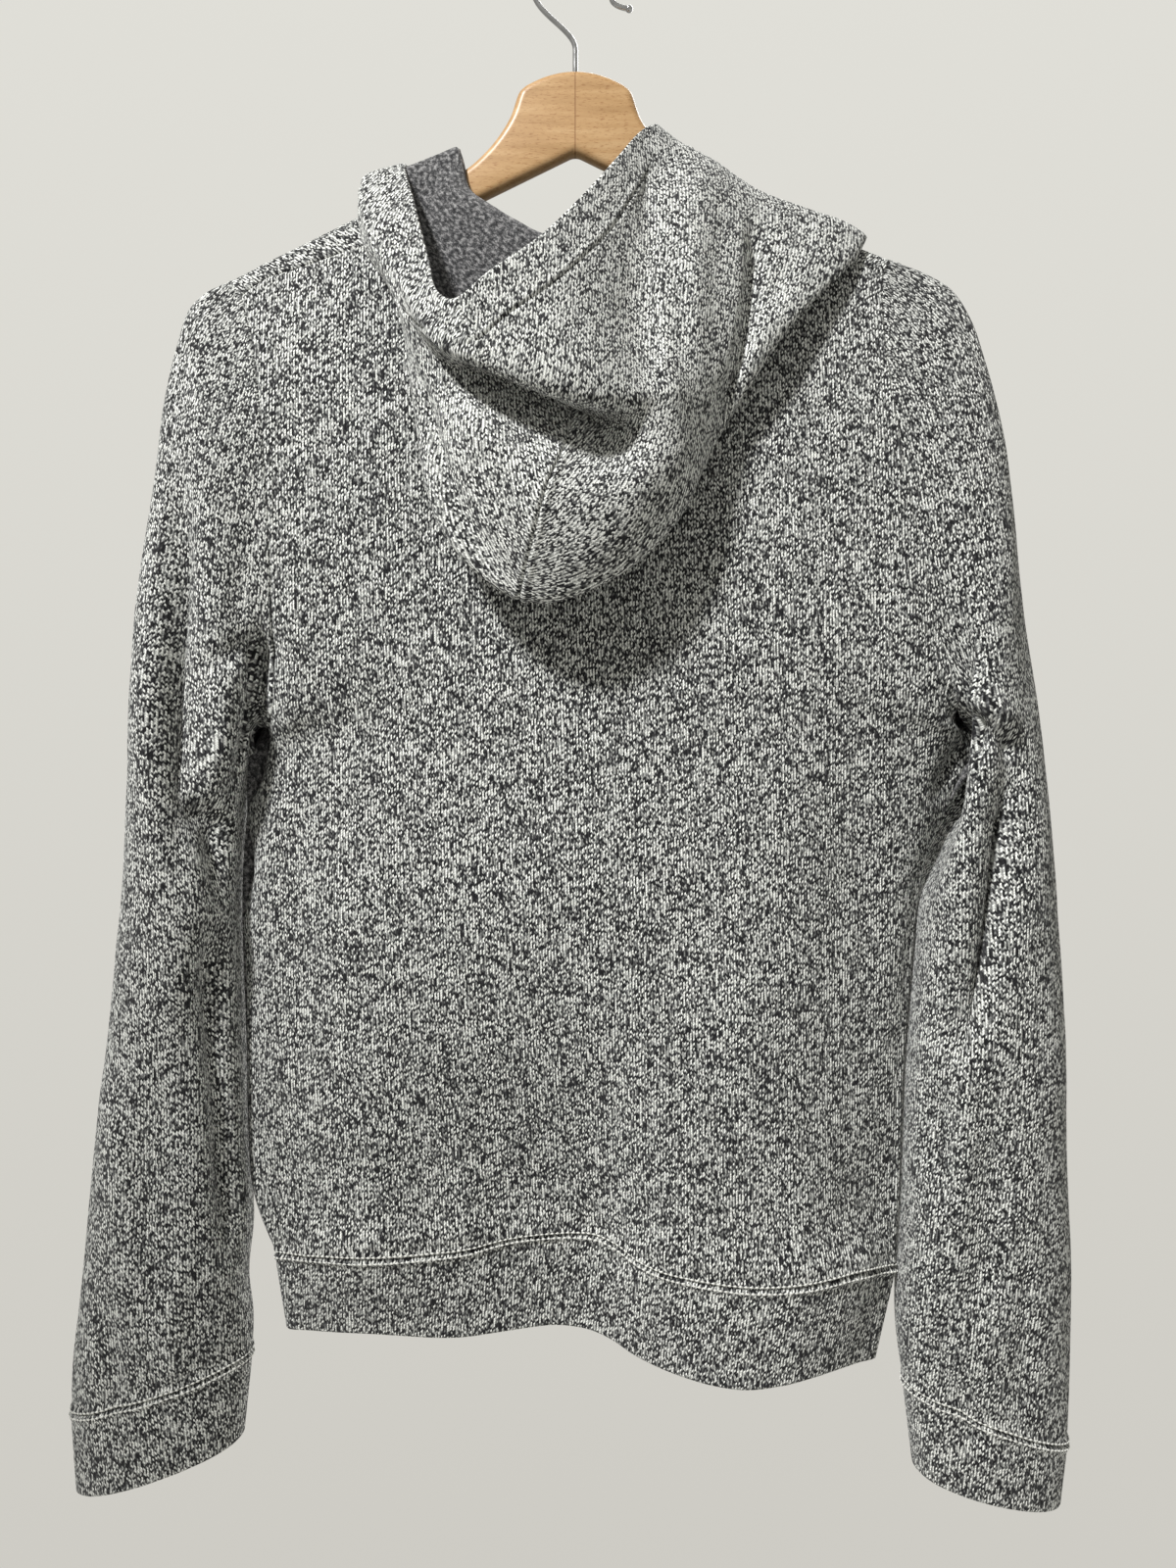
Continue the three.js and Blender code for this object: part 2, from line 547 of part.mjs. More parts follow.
// Each piece: its grid, whether it closes round, which way its rows turn, and how thick it is.
const pieces = [
  { name: "body_back", grid: backGrid, turned: true },
  { name: "body_front", grid: frontGrid },
  { name: "sleeve_left", grid: sleeveGrid("left"), closed: true },
  { name: "sleeve_right", grid: sleeveGrid("right"), closed: true, turned: true },
  { name: "cuff_left", grid: cuffGrid("left"), closed: true, thick: () => DOUBLE },
  { name: "cuff_right", grid: cuffGrid("right"), closed: true, turned: true, thick: () => DOUBLE },
  { name: "waistband", grid: waistbandGrid(), closed: true, turned: true, thick: () => DOUBLE },
  {
    name: "hood_left",
    grid: columnsOf(hood, 0, HOOD_COLUMNS / 2),
    turned: true,
    thick: (row) => (row < casingRows ? DOUBLE : CLOTH),
  },
  {
    name: "hood_right",
    grid: columnsOf(hood, HOOD_COLUMNS / 2, HOOD_COLUMNS),
    turned: true,
    thick: (row) => (row < casingRows ? DOUBLE : CLOTH),
  },
];
for (const piece of pieces) {
  if (!piece.name.startsWith("hood")) piece.grid = piece.grid.map((line) => line.map(creased));
}

// Every facet corner's outward direction, shared by the pieces that meet there.
const keyOf = (place) => `${place.x.toFixed(3)} ${place.y.toFixed(3)} ${place.z.toFixed(3)}`;
const outward = new Map();
function addFacet(corners, turned) {
  const [a, b, c] = turned ? [corners[0], corners[2], corners[1]] : corners;
  const normal = b.clone().sub(a).cross(c.clone().sub(a));
  for (const corner of corners) {
    const key = keyOf(corner);
    if (!outward.has(key)) outward.set(key, new THREE.Vector3());
    outward.get(key).add(normal);
  }
}
for (const { grid, turned } of pieces) {
  for (let row = 0; row + 1 < grid.length; row += 1) {
    for (let column = 0; column + 1 < grid[0].length; column += 1) {
      const [a, b] = [grid[row][column], grid[row][column + 1]];
      const [d, c] = [grid[row + 1][column], grid[row + 1][column + 1]];
      addFacet([a, b, c], turned);
      addFacet([a, c, d], turned);
    }
  }
}

// A piece as one closed solid: its two faces half its thickness apart on each side of the grid,
// with its edges drawn in by half the seam gap.
function clothSolid({ grid, closed = false, turned = false, thick = () => CLOTH }) {
  const rows = grid.length;
  const columns = closed ? grid[0].length - 1 : grid[0].length;
  const wrap = (column) => (closed ? (column + columns) % columns : column);
  const corner = (row, column) => grid[row][wrap(column)];
  const vertices = [];
  const faces = [];

  const place = (row, column, face) => {
    const here = corner(row, column).clone();
    const normal = outward.get(keyOf(here)).clone().normalize();
    const drawIn = (inner, a, b) => {
      const along = b.clone().sub(a).normalize();
      const into = inner.clone().sub(corner(row, column));
      into.addScaledVector(along, -into.dot(along)).addScaledVector(normal, -into.dot(normal));
      here.addScaledVector(into.normalize(), SEAM_GAP / 2);
    };
    const left = closed ? corner(row, column - 1) : corner(row, Math.max(0, column - 1));
    const right = closed
      ? corner(row, column + 1)
      : corner(row, Math.min(columns - 1, column + 1));
    const above = corner(Math.max(0, row - 1), column);
    const below = corner(Math.min(rows - 1, row + 1), column);
    if (row === 0) drawIn(below, left, right);
    if (row === rows - 1) drawIn(above, left, right);
    if (!closed && column === 0) drawIn(right, above, below);
    if (!closed && column === columns - 1) drawIn(left, above, below);
    return here.addScaledVector(normal, (face * thick(row)) / 2);
  };

  for (const face of [1, -1]) {
    for (let row = 0; row < rows; row += 1) {
      for (let column = 0; column < columns; column += 1) {
        vertices.push(place(row, column, face));
      }
    }
  }
  const index = (row, column, face) =>
    (face > 0 ? 0 : rows * columns) + row * columns + wrap(column);
  const quad = (a, b, c, d) => {
    const order = turned ? [a, d, c, b] : [a, b, c, d];
    const [p, q, r, s] = order;
    const shortAC = vertices[p].distanceTo(vertices[r]) <= vertices[q].distanceTo(vertices[s]);
    if (shortAC) faces.push(p, q, r, p, r, s);
    else faces.push(q, r, s, q, s, p);
  };
  const lastColumn = closed ? columns : columns - 1;
  for (let row = 0; row + 1 < rows; row += 1) {
    for (let column = 0; column < lastColumn; column += 1) {
      const ring = [[row, column], [row, column + 1], [row + 1, column + 1], [row + 1, column]];
      quad(...ring.map(([r, c]) => index(r, c, 1)));
      quad(...ring.reverse().map(([r, c]) => index(r, c, -1)));
    }
  }
  const edge = (r0, c0, r1, c1) =>
    quad(index(r0, c0, -1), index(r1, c1, -1), index(r1, c1, 1), index(r0, c0, 1));
  for (let column = 0; column < lastColumn; column += 1) {
    edge(0, column, 0, column + 1);
    edge(rows - 1, column + 1, rows - 1, column);
  }
  if (!closed) {
    for (let row = 0; row + 1 < rows; row += 1) {
      edge(row + 1, 0, row, 0);
      edge(row, columns - 1, row + 1, columns - 1);
    }
  }
  const geometry = new THREE.BufferGeometry();
  const flat = vertices.flatMap((v) => [v.x, v.y, v.z]);
  geometry.setAttribute("position", new THREE.Float32BufferAttribute(flat, 3));
  geometry.setIndex(faces);
  geometry.computeVertexNormals();
  return geometry;
}

// ---------------------------------------------------------------- hanger
const wasm = await Module();
wasm.setup();
const toSolid = (geometry) => {
  const loose = geometry.index ? geometry.toNonIndexed() : geometry;
  const mesh = new wasm.Mesh({
    numProp: 3,
    vertProperties: loose.attributes.position.array,
    triVerts: Uint32Array.from({ length: loose.attributes.position.count }, (_, k) => k),
  });
  mesh.merge();
  return new wasm.Manifold(mesh);
};
const toGeometry = (solid) => {
  const mesh = solid.getMesh();
  const geometry = new THREE.BufferGeometry();
  geometry.setAttribute("position", new THREE.Float32BufferAttribute(mesh.vertProperties, 3));
  geometry.setIndex([...mesh.triVerts]);
  geometry.computeVertexNormals();
  return geometry;
};

function hangerWood() {
  const tipX = HANGER_SPAN / 2;
  const armTop = (x) => ARM_ROOT_Z - (x - ARM_ROOT_X) * ARM_SLOPE;
  const armLow = (x) => NOTCH_Z - x * 0.49;
  const tipR = ARM_TIP_DROP / 2;
  const half = [
    [DOME_X, DOME_Z], [33, -89], [38, -103], [47, -117], [58, -128.5], [ARM_ROOT_X, ARM_ROOT_Z],
    [tipX - tipR, armTop(tipX - tipR)],
    [tipX - 2, armTop(tipX) - 3], [tipX, armTop(tipX) - 9], [tipX - 2, armLow(tipX) + 1],
    [tipX - tipR, armLow(tipX - tipR)],
  ];
  const outline = [
    ...half,
    [0, NOTCH_Z],
    ...half.map(([x, z]) => [-x, z]).reverse(),
  ];
  const dome = new THREE.QuadraticBezierCurve(
    new THREE.Vector2(-DOME_X, DOME_Z),
    new THREE.Vector2(0, 2 * WOOD_TOP_Z - DOME_Z),
    new THREE.Vector2(DOME_X, DOME_Z),
  ).getPoints(8).slice(1, -1);
  const shape = new THREE.Shape([...dome, ...outline.map(([x, z]) => new THREE.Vector2(x, z))]);
  const plank = new THREE.ExtrudeGeometry(shape, {
    depth: HANGER_THICK - 2 * HANGER_EDGE,
    bevelThickness: HANGER_EDGE,
    bevelSize: HANGER_EDGE,
    bevelOffset: -HANGER_EDGE,
    bevelSegments: 3,
  });
  plank.translate(0, 0, HANGER_EDGE - HANGER_THICK / 2).rotateX(Math.PI / 2);
  const bore = new THREE.CylinderGeometry(WIRE_R + BORE_CLEAR, WIRE_R + BORE_CLEAR, 2 * BORE_DEPTH, 24);
  bore.rotateX(Math.PI / 2).translate(0, 0, WOOD_TOP_Z);
  return toGeometry(toSolid(plank).subtract(toSolid(bore)));
}

function hangerHook() {
  const centreZ = -(LOOP_R - WIRE_R);
  const onLoop = (degrees) => {
    const angle = (degrees * Math.PI) / 180;
    return new THREE.Vector3(LOOP_X + LOOP_R * Math.cos(angle), 0, centreZ + LOOP_R * Math.sin(angle));
  };
  const shankTop = WOOD_TOP_Z + 14;
  const start = onLoop(205);
  const end = onLoop(-18);
  const path = [
    new THREE.Vector3(0, 0, WOOD_TOP_Z - BORE_DEPTH + 1),
    new THREE.Vector3(0, 0, WOOD_TOP_Z - 4),
    ...new THREE.CubicBezierCurve3(
      new THREE.Vector3(0, 0, shankTop),
      new THREE.Vector3(0, 0, shankTop + 10),
      new THREE.Vector3(start.x + 5, 0, start.z - 11),
      start,
    ).getPoints(5),
    ...Array.from({ length: 10 }, (_, k) => onLoop(mix(205, -18, (k + 1) / 10))),
    ...new THREE.CubicBezierCurve3(
      end,
      new THREE.Vector3(end.x - 1.5, 0, end.z - 5),
      new THREE.Vector3(end.x + 3, 0, end.z - 7.5),
      new THREE.Vector3(end.x + 10, 0, end.z - 8.5),
    ).getPoints(3).slice(1),
  ];
  const section = new THREE.Shape().absarc(0, 0, WIRE_R, 0, 2 * Math.PI);
  const wire = new THREE.ExtrudeGeometry(section, {
    extrudePath: new THREE.CatmullRomCurve3(path, false, "centripetal"),
    steps: 56,
    curveSegments: 5,
  });
  const tip = new THREE.SphereGeometry(WIRE_R * 1.45, 14, 10);
  const last = path[path.length - 1];
  tip.translate(last.x, 0, last.z);
  return toGeometry(toSolid(wire).add(toSolid(tip)));
}

// ---------------------------------------------------------------- the part
const hoodie = new THREE.Group();
for (const piece of pieces) {
  const knit = new THREE.MeshStandardMaterial({ color: knitColour, roughness: 0.95, metalness: 0 });
  const mesh = new THREE.Mesh(clothSolid(piece), knit);
  mesh.name = piece.name;
  hoodie.add(mesh);
}
const wood = new THREE.MeshStandardMaterial({ color: 0xc9a06f, roughness: 0.5, metalness: 0 });
const steel = new THREE.MeshStandardMaterial({ color: 0xa9adb2, roughness: 0.3, metalness: 1 });
const plank = new THREE.Mesh(hangerWood(), wood);
plank.name = "hanger_wood";
const hook = new THREE.Mesh(hangerHook(), steel);
hook.name = "hanger_hook";
hoodie.add(plank, hook);

export default hoodie;
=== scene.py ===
"""A marled knit hoodie on a wooden hanger, its hood thrown down the back: the looks of the part.

Sizes are millimetres until a mesh is made. The origin is the inside top of the hanger's hook, +Z
is up, the garment's back faces -Y and its front +Y. The wearer's left sleeve is at -X.
"""

import math

import bpy
import numpy as np
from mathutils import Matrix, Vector


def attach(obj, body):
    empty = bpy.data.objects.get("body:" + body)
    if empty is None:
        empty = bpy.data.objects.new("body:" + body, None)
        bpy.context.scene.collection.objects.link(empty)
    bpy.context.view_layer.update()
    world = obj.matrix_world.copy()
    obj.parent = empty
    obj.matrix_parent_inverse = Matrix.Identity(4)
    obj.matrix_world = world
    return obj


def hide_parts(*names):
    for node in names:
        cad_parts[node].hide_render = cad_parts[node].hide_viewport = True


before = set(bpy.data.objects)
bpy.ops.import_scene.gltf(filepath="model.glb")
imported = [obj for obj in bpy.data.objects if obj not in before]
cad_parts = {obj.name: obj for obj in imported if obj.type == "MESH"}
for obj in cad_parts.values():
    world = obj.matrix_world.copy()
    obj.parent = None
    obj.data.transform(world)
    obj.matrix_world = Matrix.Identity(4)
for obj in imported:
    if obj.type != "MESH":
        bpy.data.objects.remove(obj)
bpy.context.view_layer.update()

# ---------------------------------------------------------------- sizes
MM = 0.001
CLOTH = 2.0  # one layer of knit
DOUBLE = 3.0  # turned hem, cuffs and waistband
SEAM_LAP = 0.35  # how far each piece reaches past its seam line, so that no light shows through
COVER = 2.15  # from the hanger's surface to the middle of the cloth that lies on it

HANGER_SPAN = 437.0
HANGER_THICK = 11.0
HANGER_EDGE = 4.68  # radius of the wood's rounded edges
WOOD_TOP_Z = -76.0
ARM_ROOT_X = 66.0  # where the arm's straight top edge begins
ARM_ROOT_Z = -134.5
ARM_SLOPE = 0.497
ARM_LOW_SLOPE = 0.49
ARM_TIP_DROP = 20.0  # height of the arm near its tip
NOTCH_Z = -124.0
DOME_X = 29.0
DOME_Z = -84.5

WIRE_R = 1.5
LOOP_R = 24.0
LOOP_X = -1.5
BORE_DEPTH = 20.0

BACK_DEPTH = 33.0  # how far the back and front hang from the hanger's plane
FRONT_DEPTH = 25.0
RIDGE_HALF = 8.8  # half thickness of the cloth where it bends over the arm
RIDGE_DROP = 7.0
FALL_LENGTH = 70.0  # how fast the panels swing out below the shoulder
HEM_WAVE_Z = -560.0  # below this the panels take on the hem's own wave
HEM_WAVE_REACH = 200.0
# Shares of a panel's height: where its columns have spread evenly between its sides, how far down
# its rows keep the form of its top, and where they begin to take on that of its hem.
SPREAD_BY = 0.6
TOP_FORM_TO = 0.62
HEM_FORM_FROM = 0.4
BESIDE_EDGE = 0.3  # share of its width beside each edge in which its rows follow that edge

# Angles from the top of the armhole to the underarm, closer where cloth bends over the arm.
ROUND_ARMHOLE = [0, 8, 22, 42, 62, 84, 106, 130, 155, 180]
SIDE_ROWS = 8  # rows between underarm and waistband
SHOULDER_COLUMNS = 4
BACK_NECK_COLUMNS = 18
# Shoulder seams run behind the ridge of the shoulder: this far at the neck, and at the armhole
# as far as the second corner of its back half.
SEAM_BEHIND = 24.0
SEAM_CORNER = 2
NECK_RIM = 12.0  # the front panel's first rows lie within this below its neckline
NECK_RIM_CENTRE = 50.0
NECK_LEFT_X = -113.0
NECK_RIGHT_X = 113.0
BAND_NARROWS = 0.948  # the waistband's lower edge against its seam, and how far it is drawn aside
BAND_ASIDE = -3.0

# Spacing of the visual meshes' rows and columns, and their distances from a seam beside it.
FINE = 2.9
MEDIUM = 3.4
SMALL = 2.6
SEAM_STEPS = [0.4, 0.9, 1.5, 2.2, 3.0, 3.8, 4.6, 6.0]


# ---------------------------------------------------------------- tables
def table(names, rows):
    """Named columns, each an array with a number for each row."""
    return dict(zip(names.split(), np.array(rows, float).T))


ARMHOLES = {
    "left": {"top_x": -204, "under_x": -187, "under_z": -470, "bow": 24, "lift": 0},
    "right": {"top_x": 187, "under_x": 238, "under_z": -470, "bow": -24, "lift": 4},
}
# Side seams, from the underarm down.
SIDES = {
    "left": table("z x", [
        [-470, -187], [-500, -190], [-527, -192], [-560, -193.5], [-600, -192],
        [-660, -190], [-717, -188], [-742, -181], [-761, -173],
    ]),
    "right": table("z x", [
        [-470, 238], [-489, 224], [-511, 212], [-531, 204], [-557, 199],
        [-610, 194], [-660, 190.5], [-716, 188.5], [-769, 185],
    ]),
}
# The line where the waistband is sewn on, and the band's lower edge.
HEM_BACK = table("x z y low low_y", [
    [-173, -761, -2, -807, 3],
    [-150, -758.4, -15, -805, -6],
    [-116, -757.8, -21, -804, -12],
    [-70, -756, -16, -806, -12],
    [-36, -750, -9, -803, -9],
    [-7, -748.3, -6, -802, -4],
    [18, -751, -9, -805, -8],
    [42, -762, -24, -815, -18],
    [69, -766.5, -33, -821, -30],
    [101, -769, -37, -824, -38],
    [131, -767.5, -34, -822, -34],
    [158, -765, -23, -820, -22],
    [185, -769, -2, -821, -4],
])
HEM_FRONT = table("x z y low low_y", [
    [-173, -761, -2, -807, 3],
    [-120, -752, 22, -799, 22],
    [-60, -750, 16, -797, 18],
    [0, -748, 22, -796, 24],
    [60, -750, 15, -799, 15],
    [120, -757, 22, -806, 22],
    [185, -769, -2, -821, -4],
])
BACK_NECK = table("x z", [
    [-113, -180], [-85, -192], [-45, -201], [0, -203], [45, -201], [85, -192], [113, -180],
])
# The front neckline starts behind the ridge, crosses it and dips: depth below the ridge.
FRONT_NECK = table("x below", [
    [-113, -24], [-108.5, -2.2], [-106, 0], [-103.5, 2.2], [-100, 12], [-88, 36], [-68, 64],
    [-40, 97], [0, 117], [40, 97],
    [68, 64], [88, 36], [100, 12], [103.5, 2.2], [106, 0], [108.5, -2.2], [113, -24],
])
# Sleeve rings: the outer and the under edge of each ring, and how far it reaches back and front.
# "drape" is 0 where the ring still follows the hanger and 1 where it hangs free.
SLEEVES = {
    "left": table("outer_x outer_z under_x under_z back front drape", [
        [-215, -206.5, -190.4, -473.5, 34, 27, 0.03],
        [-222, -213, -191, -482, 35, 28, 0.1],
        [-229, -233, -191.6, -491, 36, 29, 0.35],
        [-236, -265, -192.6, -503, 37, 30, 0.6],
        [-241, -312, -193.8, -519, 38, 31, 0.8],
        [-247.5, -370, -195, -538, 40, 32, 1],
        [-251.5, -430, -195.6, -560, 42, 33, 1],
        [-255, -490, -195, -590, 42, 34, 1],
        [-258.5, -552, -194.2, -628, 40, 34, 1],
        [-264.5, -612, -193, -668, 38, 33, 1],
        [-271.5, -668, -191.6, -708, 37, 31, 1],
        [-277.5, -722, -189, -742, 36, 29, 1],
        [-283, -780, -191.5, -776, 36, 26, 1],
        [-288, -822, -188.5, -800, 34, 22, 1],
        [-289, -849, -189, -817.5, 32, 18, 1],
    ]),
    "right": table("outer_x outer_z under_x under_z back front drape", [
        [203, -194.5, 242, -473, 34, 27, 0.03],
        [217, -203.5, 242.5, -479, 35, 28, 0.1],
        [227.5, -219, 239, -488, 36, 29, 0.3],
        [235, -242, 232, -500, 37, 30, 0.55],
        [243, -275, 222, -515, 38, 31, 0.75],
        [249, -325, 212, -534, 40, 32, 0.95],
        [255.5, -385, 201.4, -556, 42, 33, 1],
        [265, -448, 198.4, -584, 44, 34, 1],
        [271.5, -515, 195.6, -618, 44, 34, 1],
        [276.5, -580, 193, -655, 42, 33, 1],
        [279.5, -645, 191.4, -696, 40, 31, 1],
        [281.5, -712, 190, -736, 38, 29, 1],
        [284, -772, 187.4, -772, 36, 26, 1],
        [283.5, -826, 187.4, -803, 34, 22, 1],
        [282, -866, 191.5, -834, 32, 18, 1],
    ]),
}
# The lower edge of each cuff, as a sleeve ring.
CUFFS = {
    "left": [-286, -895, -194, -866, 30, 17, 1],
    "right": [278, -902, 197.5, -884, 30, 17, 1],
}

# Sections of the hood from its front left end round the back to its front right end. "at" is the
# column of the neck seam. Each section runs from the rim, its open edge, to the brow that hangs
# over, the tuck under it, the belly, the fold where the hood turns back inside, and the roll over
# which it goes down to the neck seam.
HOOD_ROWS = [
    # at  rim               brow              tuck              belly             fold              roll
    [0, [-2, 29, -224], [-2, 29, -228], [-2, 29, -231], [-2, 28.5, -235], [-2, 28, -239],
     [-2, 27, -245]],
    [3, [-54, 30, -182], [-66, 34, -188], [-71, 35, -191], [-76, 35, -194], [-84, 32, -202],
     [-62, 21, -170]],
    [6, [-96, 1, -131], [-108, 0, -135], [-112, -1, -137], [-115, -2, -139], [-118, -3, -144],
     [-69, 0, -121]],
    [10, [-87, -42, -174], [-104, -44, -178], [-109, -44, -180], [-113, -42, -182],
     [-117, -34, -188], [-61, -12, -149]],
    [12, [-77, -64, -212], [-92, -64, -218], [-95, -62, -222], [-96, -57, -227], [-95, -45, -232],
     [-46, -18, -163]],
    [13.7, [-74, -74, -226], [-76, -78, -254], [-74, -64, -260], [-75, -62, -280],
     [-86, -50, -289], [-33, -21.5, -172]],
    [15.3, [-69, -80, -235], [-62, -85, -266], [-48, -58, -268], [-54, -74, -303],
     [-71, -60, -352], [-20, -23.5, -179]],
    [17, [-60, -84, -238], [-49, -89, -271], [-2, -55, -286], [-14, -82, -335], [-29, -66, -391],
     [0, -24, -184]],
    [18.5, [-42, -81, -222], [-23, -91, -283], [14, -53, -292], [22, -81, -337], [14, -67, -383],
     [18, -24, -186]],
    [20, [-17, -73, -201], [13, -88, -289], [34, -72, -294], [49, -72, -318], [52, -57, -351],
     [36, -23.5, -187]],
    [21.7, [7, -54, -169], [43, -64, -261], [61, -66, -274], [72, -54, -293], [79, -46, -299],
     [58, -21.5, -183]],
    [23.3, [23, -36, -143], [41, -50, -211], [66, -60, -230], [86, -47, -246], [113, -43, -244],
     [80, -18.5, -176]],
    [25, [36, -18, -120], [41, -27, -154], [68, -40, -176], [95, -31, -196], [139, -31, -213],
     [96, -12, -163]],
    [27, [45, -8, -110], [58, -11, -126], [78, -20, -145], [99, -19, -162], [160, -16, -188],
     [100, -6, -149.5]],
    [28, [46, -1, -109], [60, -1, -118], [80, -3, -129], [104, -3, -145], [168, -3, -172.5],
     [100, 0, -146.5]],
    [29, [46, 8, -116], [60, 9, -127], [82, 13, -141], [106, 14, -155], [162, 15.5, -182.5],
     [98, 9, -148.5]],
    [30, [42, 15, -136], [66, 17, -150], [90, 20, -162], [112, 20, -172], [150, 20, -197],
     [93, 13.5, -156.5]],
    [31, [32, 21, -160], [62, 25, -174], [84, 28, -184], [102, 28, -194], [130, 26, -211],
     [82, 19, -169]],
    [34, [2, 29, -224], [2, 29, -228], [2, 29, -231], [2, 28.5, -235], [2, 28, -239],
     [2, 27, -245]],
]
HOOD_PLACES = ["rim", "brow", "tuck", "belly", "fold", "roll"]
HOOD = {
    name: np.array([row[number] for row in HOOD_ROWS], float)
    for number, name in enumerate(["at", *HOOD_PLACES])
}
CASING = 27.0  # width of the hood's turned hem
CASING_SHARE = 0.6  # and the most of the way from rim to brow that it takes
OFF_BACK = 4.5  # how far the hood's inner layer hangs from the body
BELOW_RIDGE = 12.0  # and how far below the ridge it begins to keep that distance
OFF_RIDGE = 2.7  # how far it lies over the ridge of the shoulder
NEAR_RIDGE = 8.0  # and how near the hanger's plane it counts as over the ridge
LIP_SHARE = 0.86  # the lip's place between fold and roll
FOLD_ROUND = 2.3  # half the thickness of the hood's outer fold
FOLD_SPAN = 8.0
FOLD_UP = 14.0  # within this of the hanger's plane the fold turns upwards
# How many rows each stretch of a hood section is given before it is made finer.
HOOD_STRETCHES = [2, 2, 2, 2, 2, 1, 1, 1, 2, 2, 2]


# ---------------------------------------------------------------- curves
def mix(a, b, t):
    return a + (b - a) * t


def clamp01(t):
    return np.clip(t, 0.0, 1.0)


def smooth(t):
    return clamp01(t) ** 2 * (3 - 2 * clamp01(t))


def units(vectors):
    """Vectors along the last axis, each made 1 long."""
    return vectors / np.maximum(1e-9, np.linalg.norm(vectors, axis=-1, keepdims=True))


def hermite(start, end, slope_start, slope_end, t):
    return (
        (2 * t**3 - 3 * t**2 + 1) * start
        + (t**3 - 2 * t**2 + t) * slope_start
        + (3 * t**2 - 2 * t**3) * end
        + (t**3 - t**2) * slope_end
    )


def through(rows, key, place, column):
    """A smooth line through the rows of a table: one column's value at a place on another."""
    places = rows[key]
    values = rows[column]
    last = len(places) - 1
    rising = 1 if places[last] > places[0] else -1
    k = 0
    while k < last - 1 and (places[k + 1] - place) * rising < 0:
        k += 1

    def slope(n):
        low = max(0, n - 1)
        high = min(last, n + 1)
        return (values[high] - values[low]) / (places[high] - places[low])

    span = places[k + 1] - places[k]
    t = clamp01((place - places[k]) / span)
    return hermite(values[k], values[k + 1], slope(k) * span, slope(k + 1) * span, t)


def lengths(points, axis):
    return np.linalg.norm(np.diff(points, axis=axis), axis=-1)


# ---------------------------------------------------------------- the body's form
def ridge_z(x):
    """Middle of the cloth where it bends over the hanger's arm."""
    along = np.maximum(0, np.abs(x) - ARM_ROOT_X)
    lifted = np.where(np.asarray(x) > 0, ARMHOLES["right"]["lift"] * smooth((x - 150) / 40), 0)
    return ARM_ROOT_Z - along * ARM_SLOPE + COVER + lifted


def swing(below, depth):
    """How far the cloth stands from the hanger's plane at a depth below the ridge."""
    bend = RIDGE_HALF * np.sqrt(1 - (1 - clamp01(below / RIDGE_DROP)) ** 2)
    hung = 1 - np.exp(-np.maximum(0, below - RIDGE_DROP) / FALL_LENGTH)
    return bend + (depth - RIDGE_HALF) * hung


def face_depth(face):
    return BACK_DEPTH if face < 0 else FRONT_DEPTH


def round_ring(degrees):
    """How far down a ring of cloth an angle from its top is, and how far out, from 0 to 1."""
    angle = math.radians(degrees)
    return (1 - math.cos(angle)) / 2, max(0.0, math.sin(angle))


def closing(degrees, bulge):
    """The share of its depth that a ring keeps: less and less towards the underarm."""
    return bulge**0.9 if degrees > 90 else 1


def armhole(side, degrees, face):
    """A place on an armhole seam, from its top at 0 degrees to the underarm at 180."""
    hole = ARMHOLES[side]
    top_z = float(ridge_z(hole["top_x"]))
    down, bulge = round_ring(degrees)
    x = mix(hole["top_x"], hole["under_x"], down) + hole["bow"] * bulge**0.7
    z = mix(top_z, hole["under_z"], down)
    depth = float(swing(max(top_z, float(ridge_z(x))) - z, face_depth(face)))
    y = face * depth * closing(degrees, bulge)
    return np.array([x, 0 if degrees == 180 else y, z])


def columns_across(face):
    """A panel's columns as (part of the way from the armhole, x at the neck, side)."""
    if face > 0:
        neck = list(FRONT_NECK["x"])
    else:
        neck = list(np.linspace(NECK_LEFT_X, NECK_RIGHT_X, BACK_NECK_COLUMNS + 1))
    parts = [(k / SHOULDER_COLUMNS) ** 1.3 for k in range(SHOULDER_COLUMNS)]
    return (
        [(part, NECK_LEFT_X, "left") for part in parts]
        + [(1, x, "left" if x < 0 else "right") for x in neck]
        + [(part, NECK_RIGHT_X, "right") for part in reversed(parts)]
    )


def side_edge(side, face):
    """An edge of the body, from the shoulder down the armhole and the side seam."""
    hole = [armhole(side, degrees, face) for degrees in ROUND_ARMHOLE]
    over_top = [armhole(side, degrees, -1) for degrees in ROUND_ARMHOLE[SEAM_CORNER:0:-1]]
    edge = hole[SEAM_CORNER:] if face < 0 else over_top + hole
    rows = SIDES[side]
    for k in range(1, SIDE_ROWS + 1):
        down = k / SIDE_ROWS
        z = mix(rows["z"][0], rows["z"][-1], down)
        edge.append(np.array([through(rows, "z", z, "x"), -2 * down, z]))
    return edge


def shoulder_place(x, below):
    """A place on the shoulder at a depth below its ridge, in front of it or, below 0, behind."""
    depth = -BACK_DEPTH if below < 0 else FRONT_DEPTH
    y = math.copysign(1, depth) * float(swing(abs(below), abs(depth)))
    return np.array([x, y, float(ridge_z(x)) - abs(below)])


LEFT_TOP = armhole("left", 0, -1)
ARMHOLE_SEAM_DEPTH = LEFT_TOP[2] - armhole("left", ROUND_ARMHOLE[SEAM_CORNER], -1)[2]


def top_depth(face, part, to_x):
    """The top edge of a panel as a depth below the ridge."""
    if part < 1:
        return -mix(ARMHOLE_SEAM_DEPTH, SEAM_BEHIND, part)
    if face > 0:
        return FRONT_NECK["below"][list(FRONT_NECK["x"]).index(to_x)]
    return float(through(BACK_NECK, "x", to_x, "z") - ridge_z(to_x))


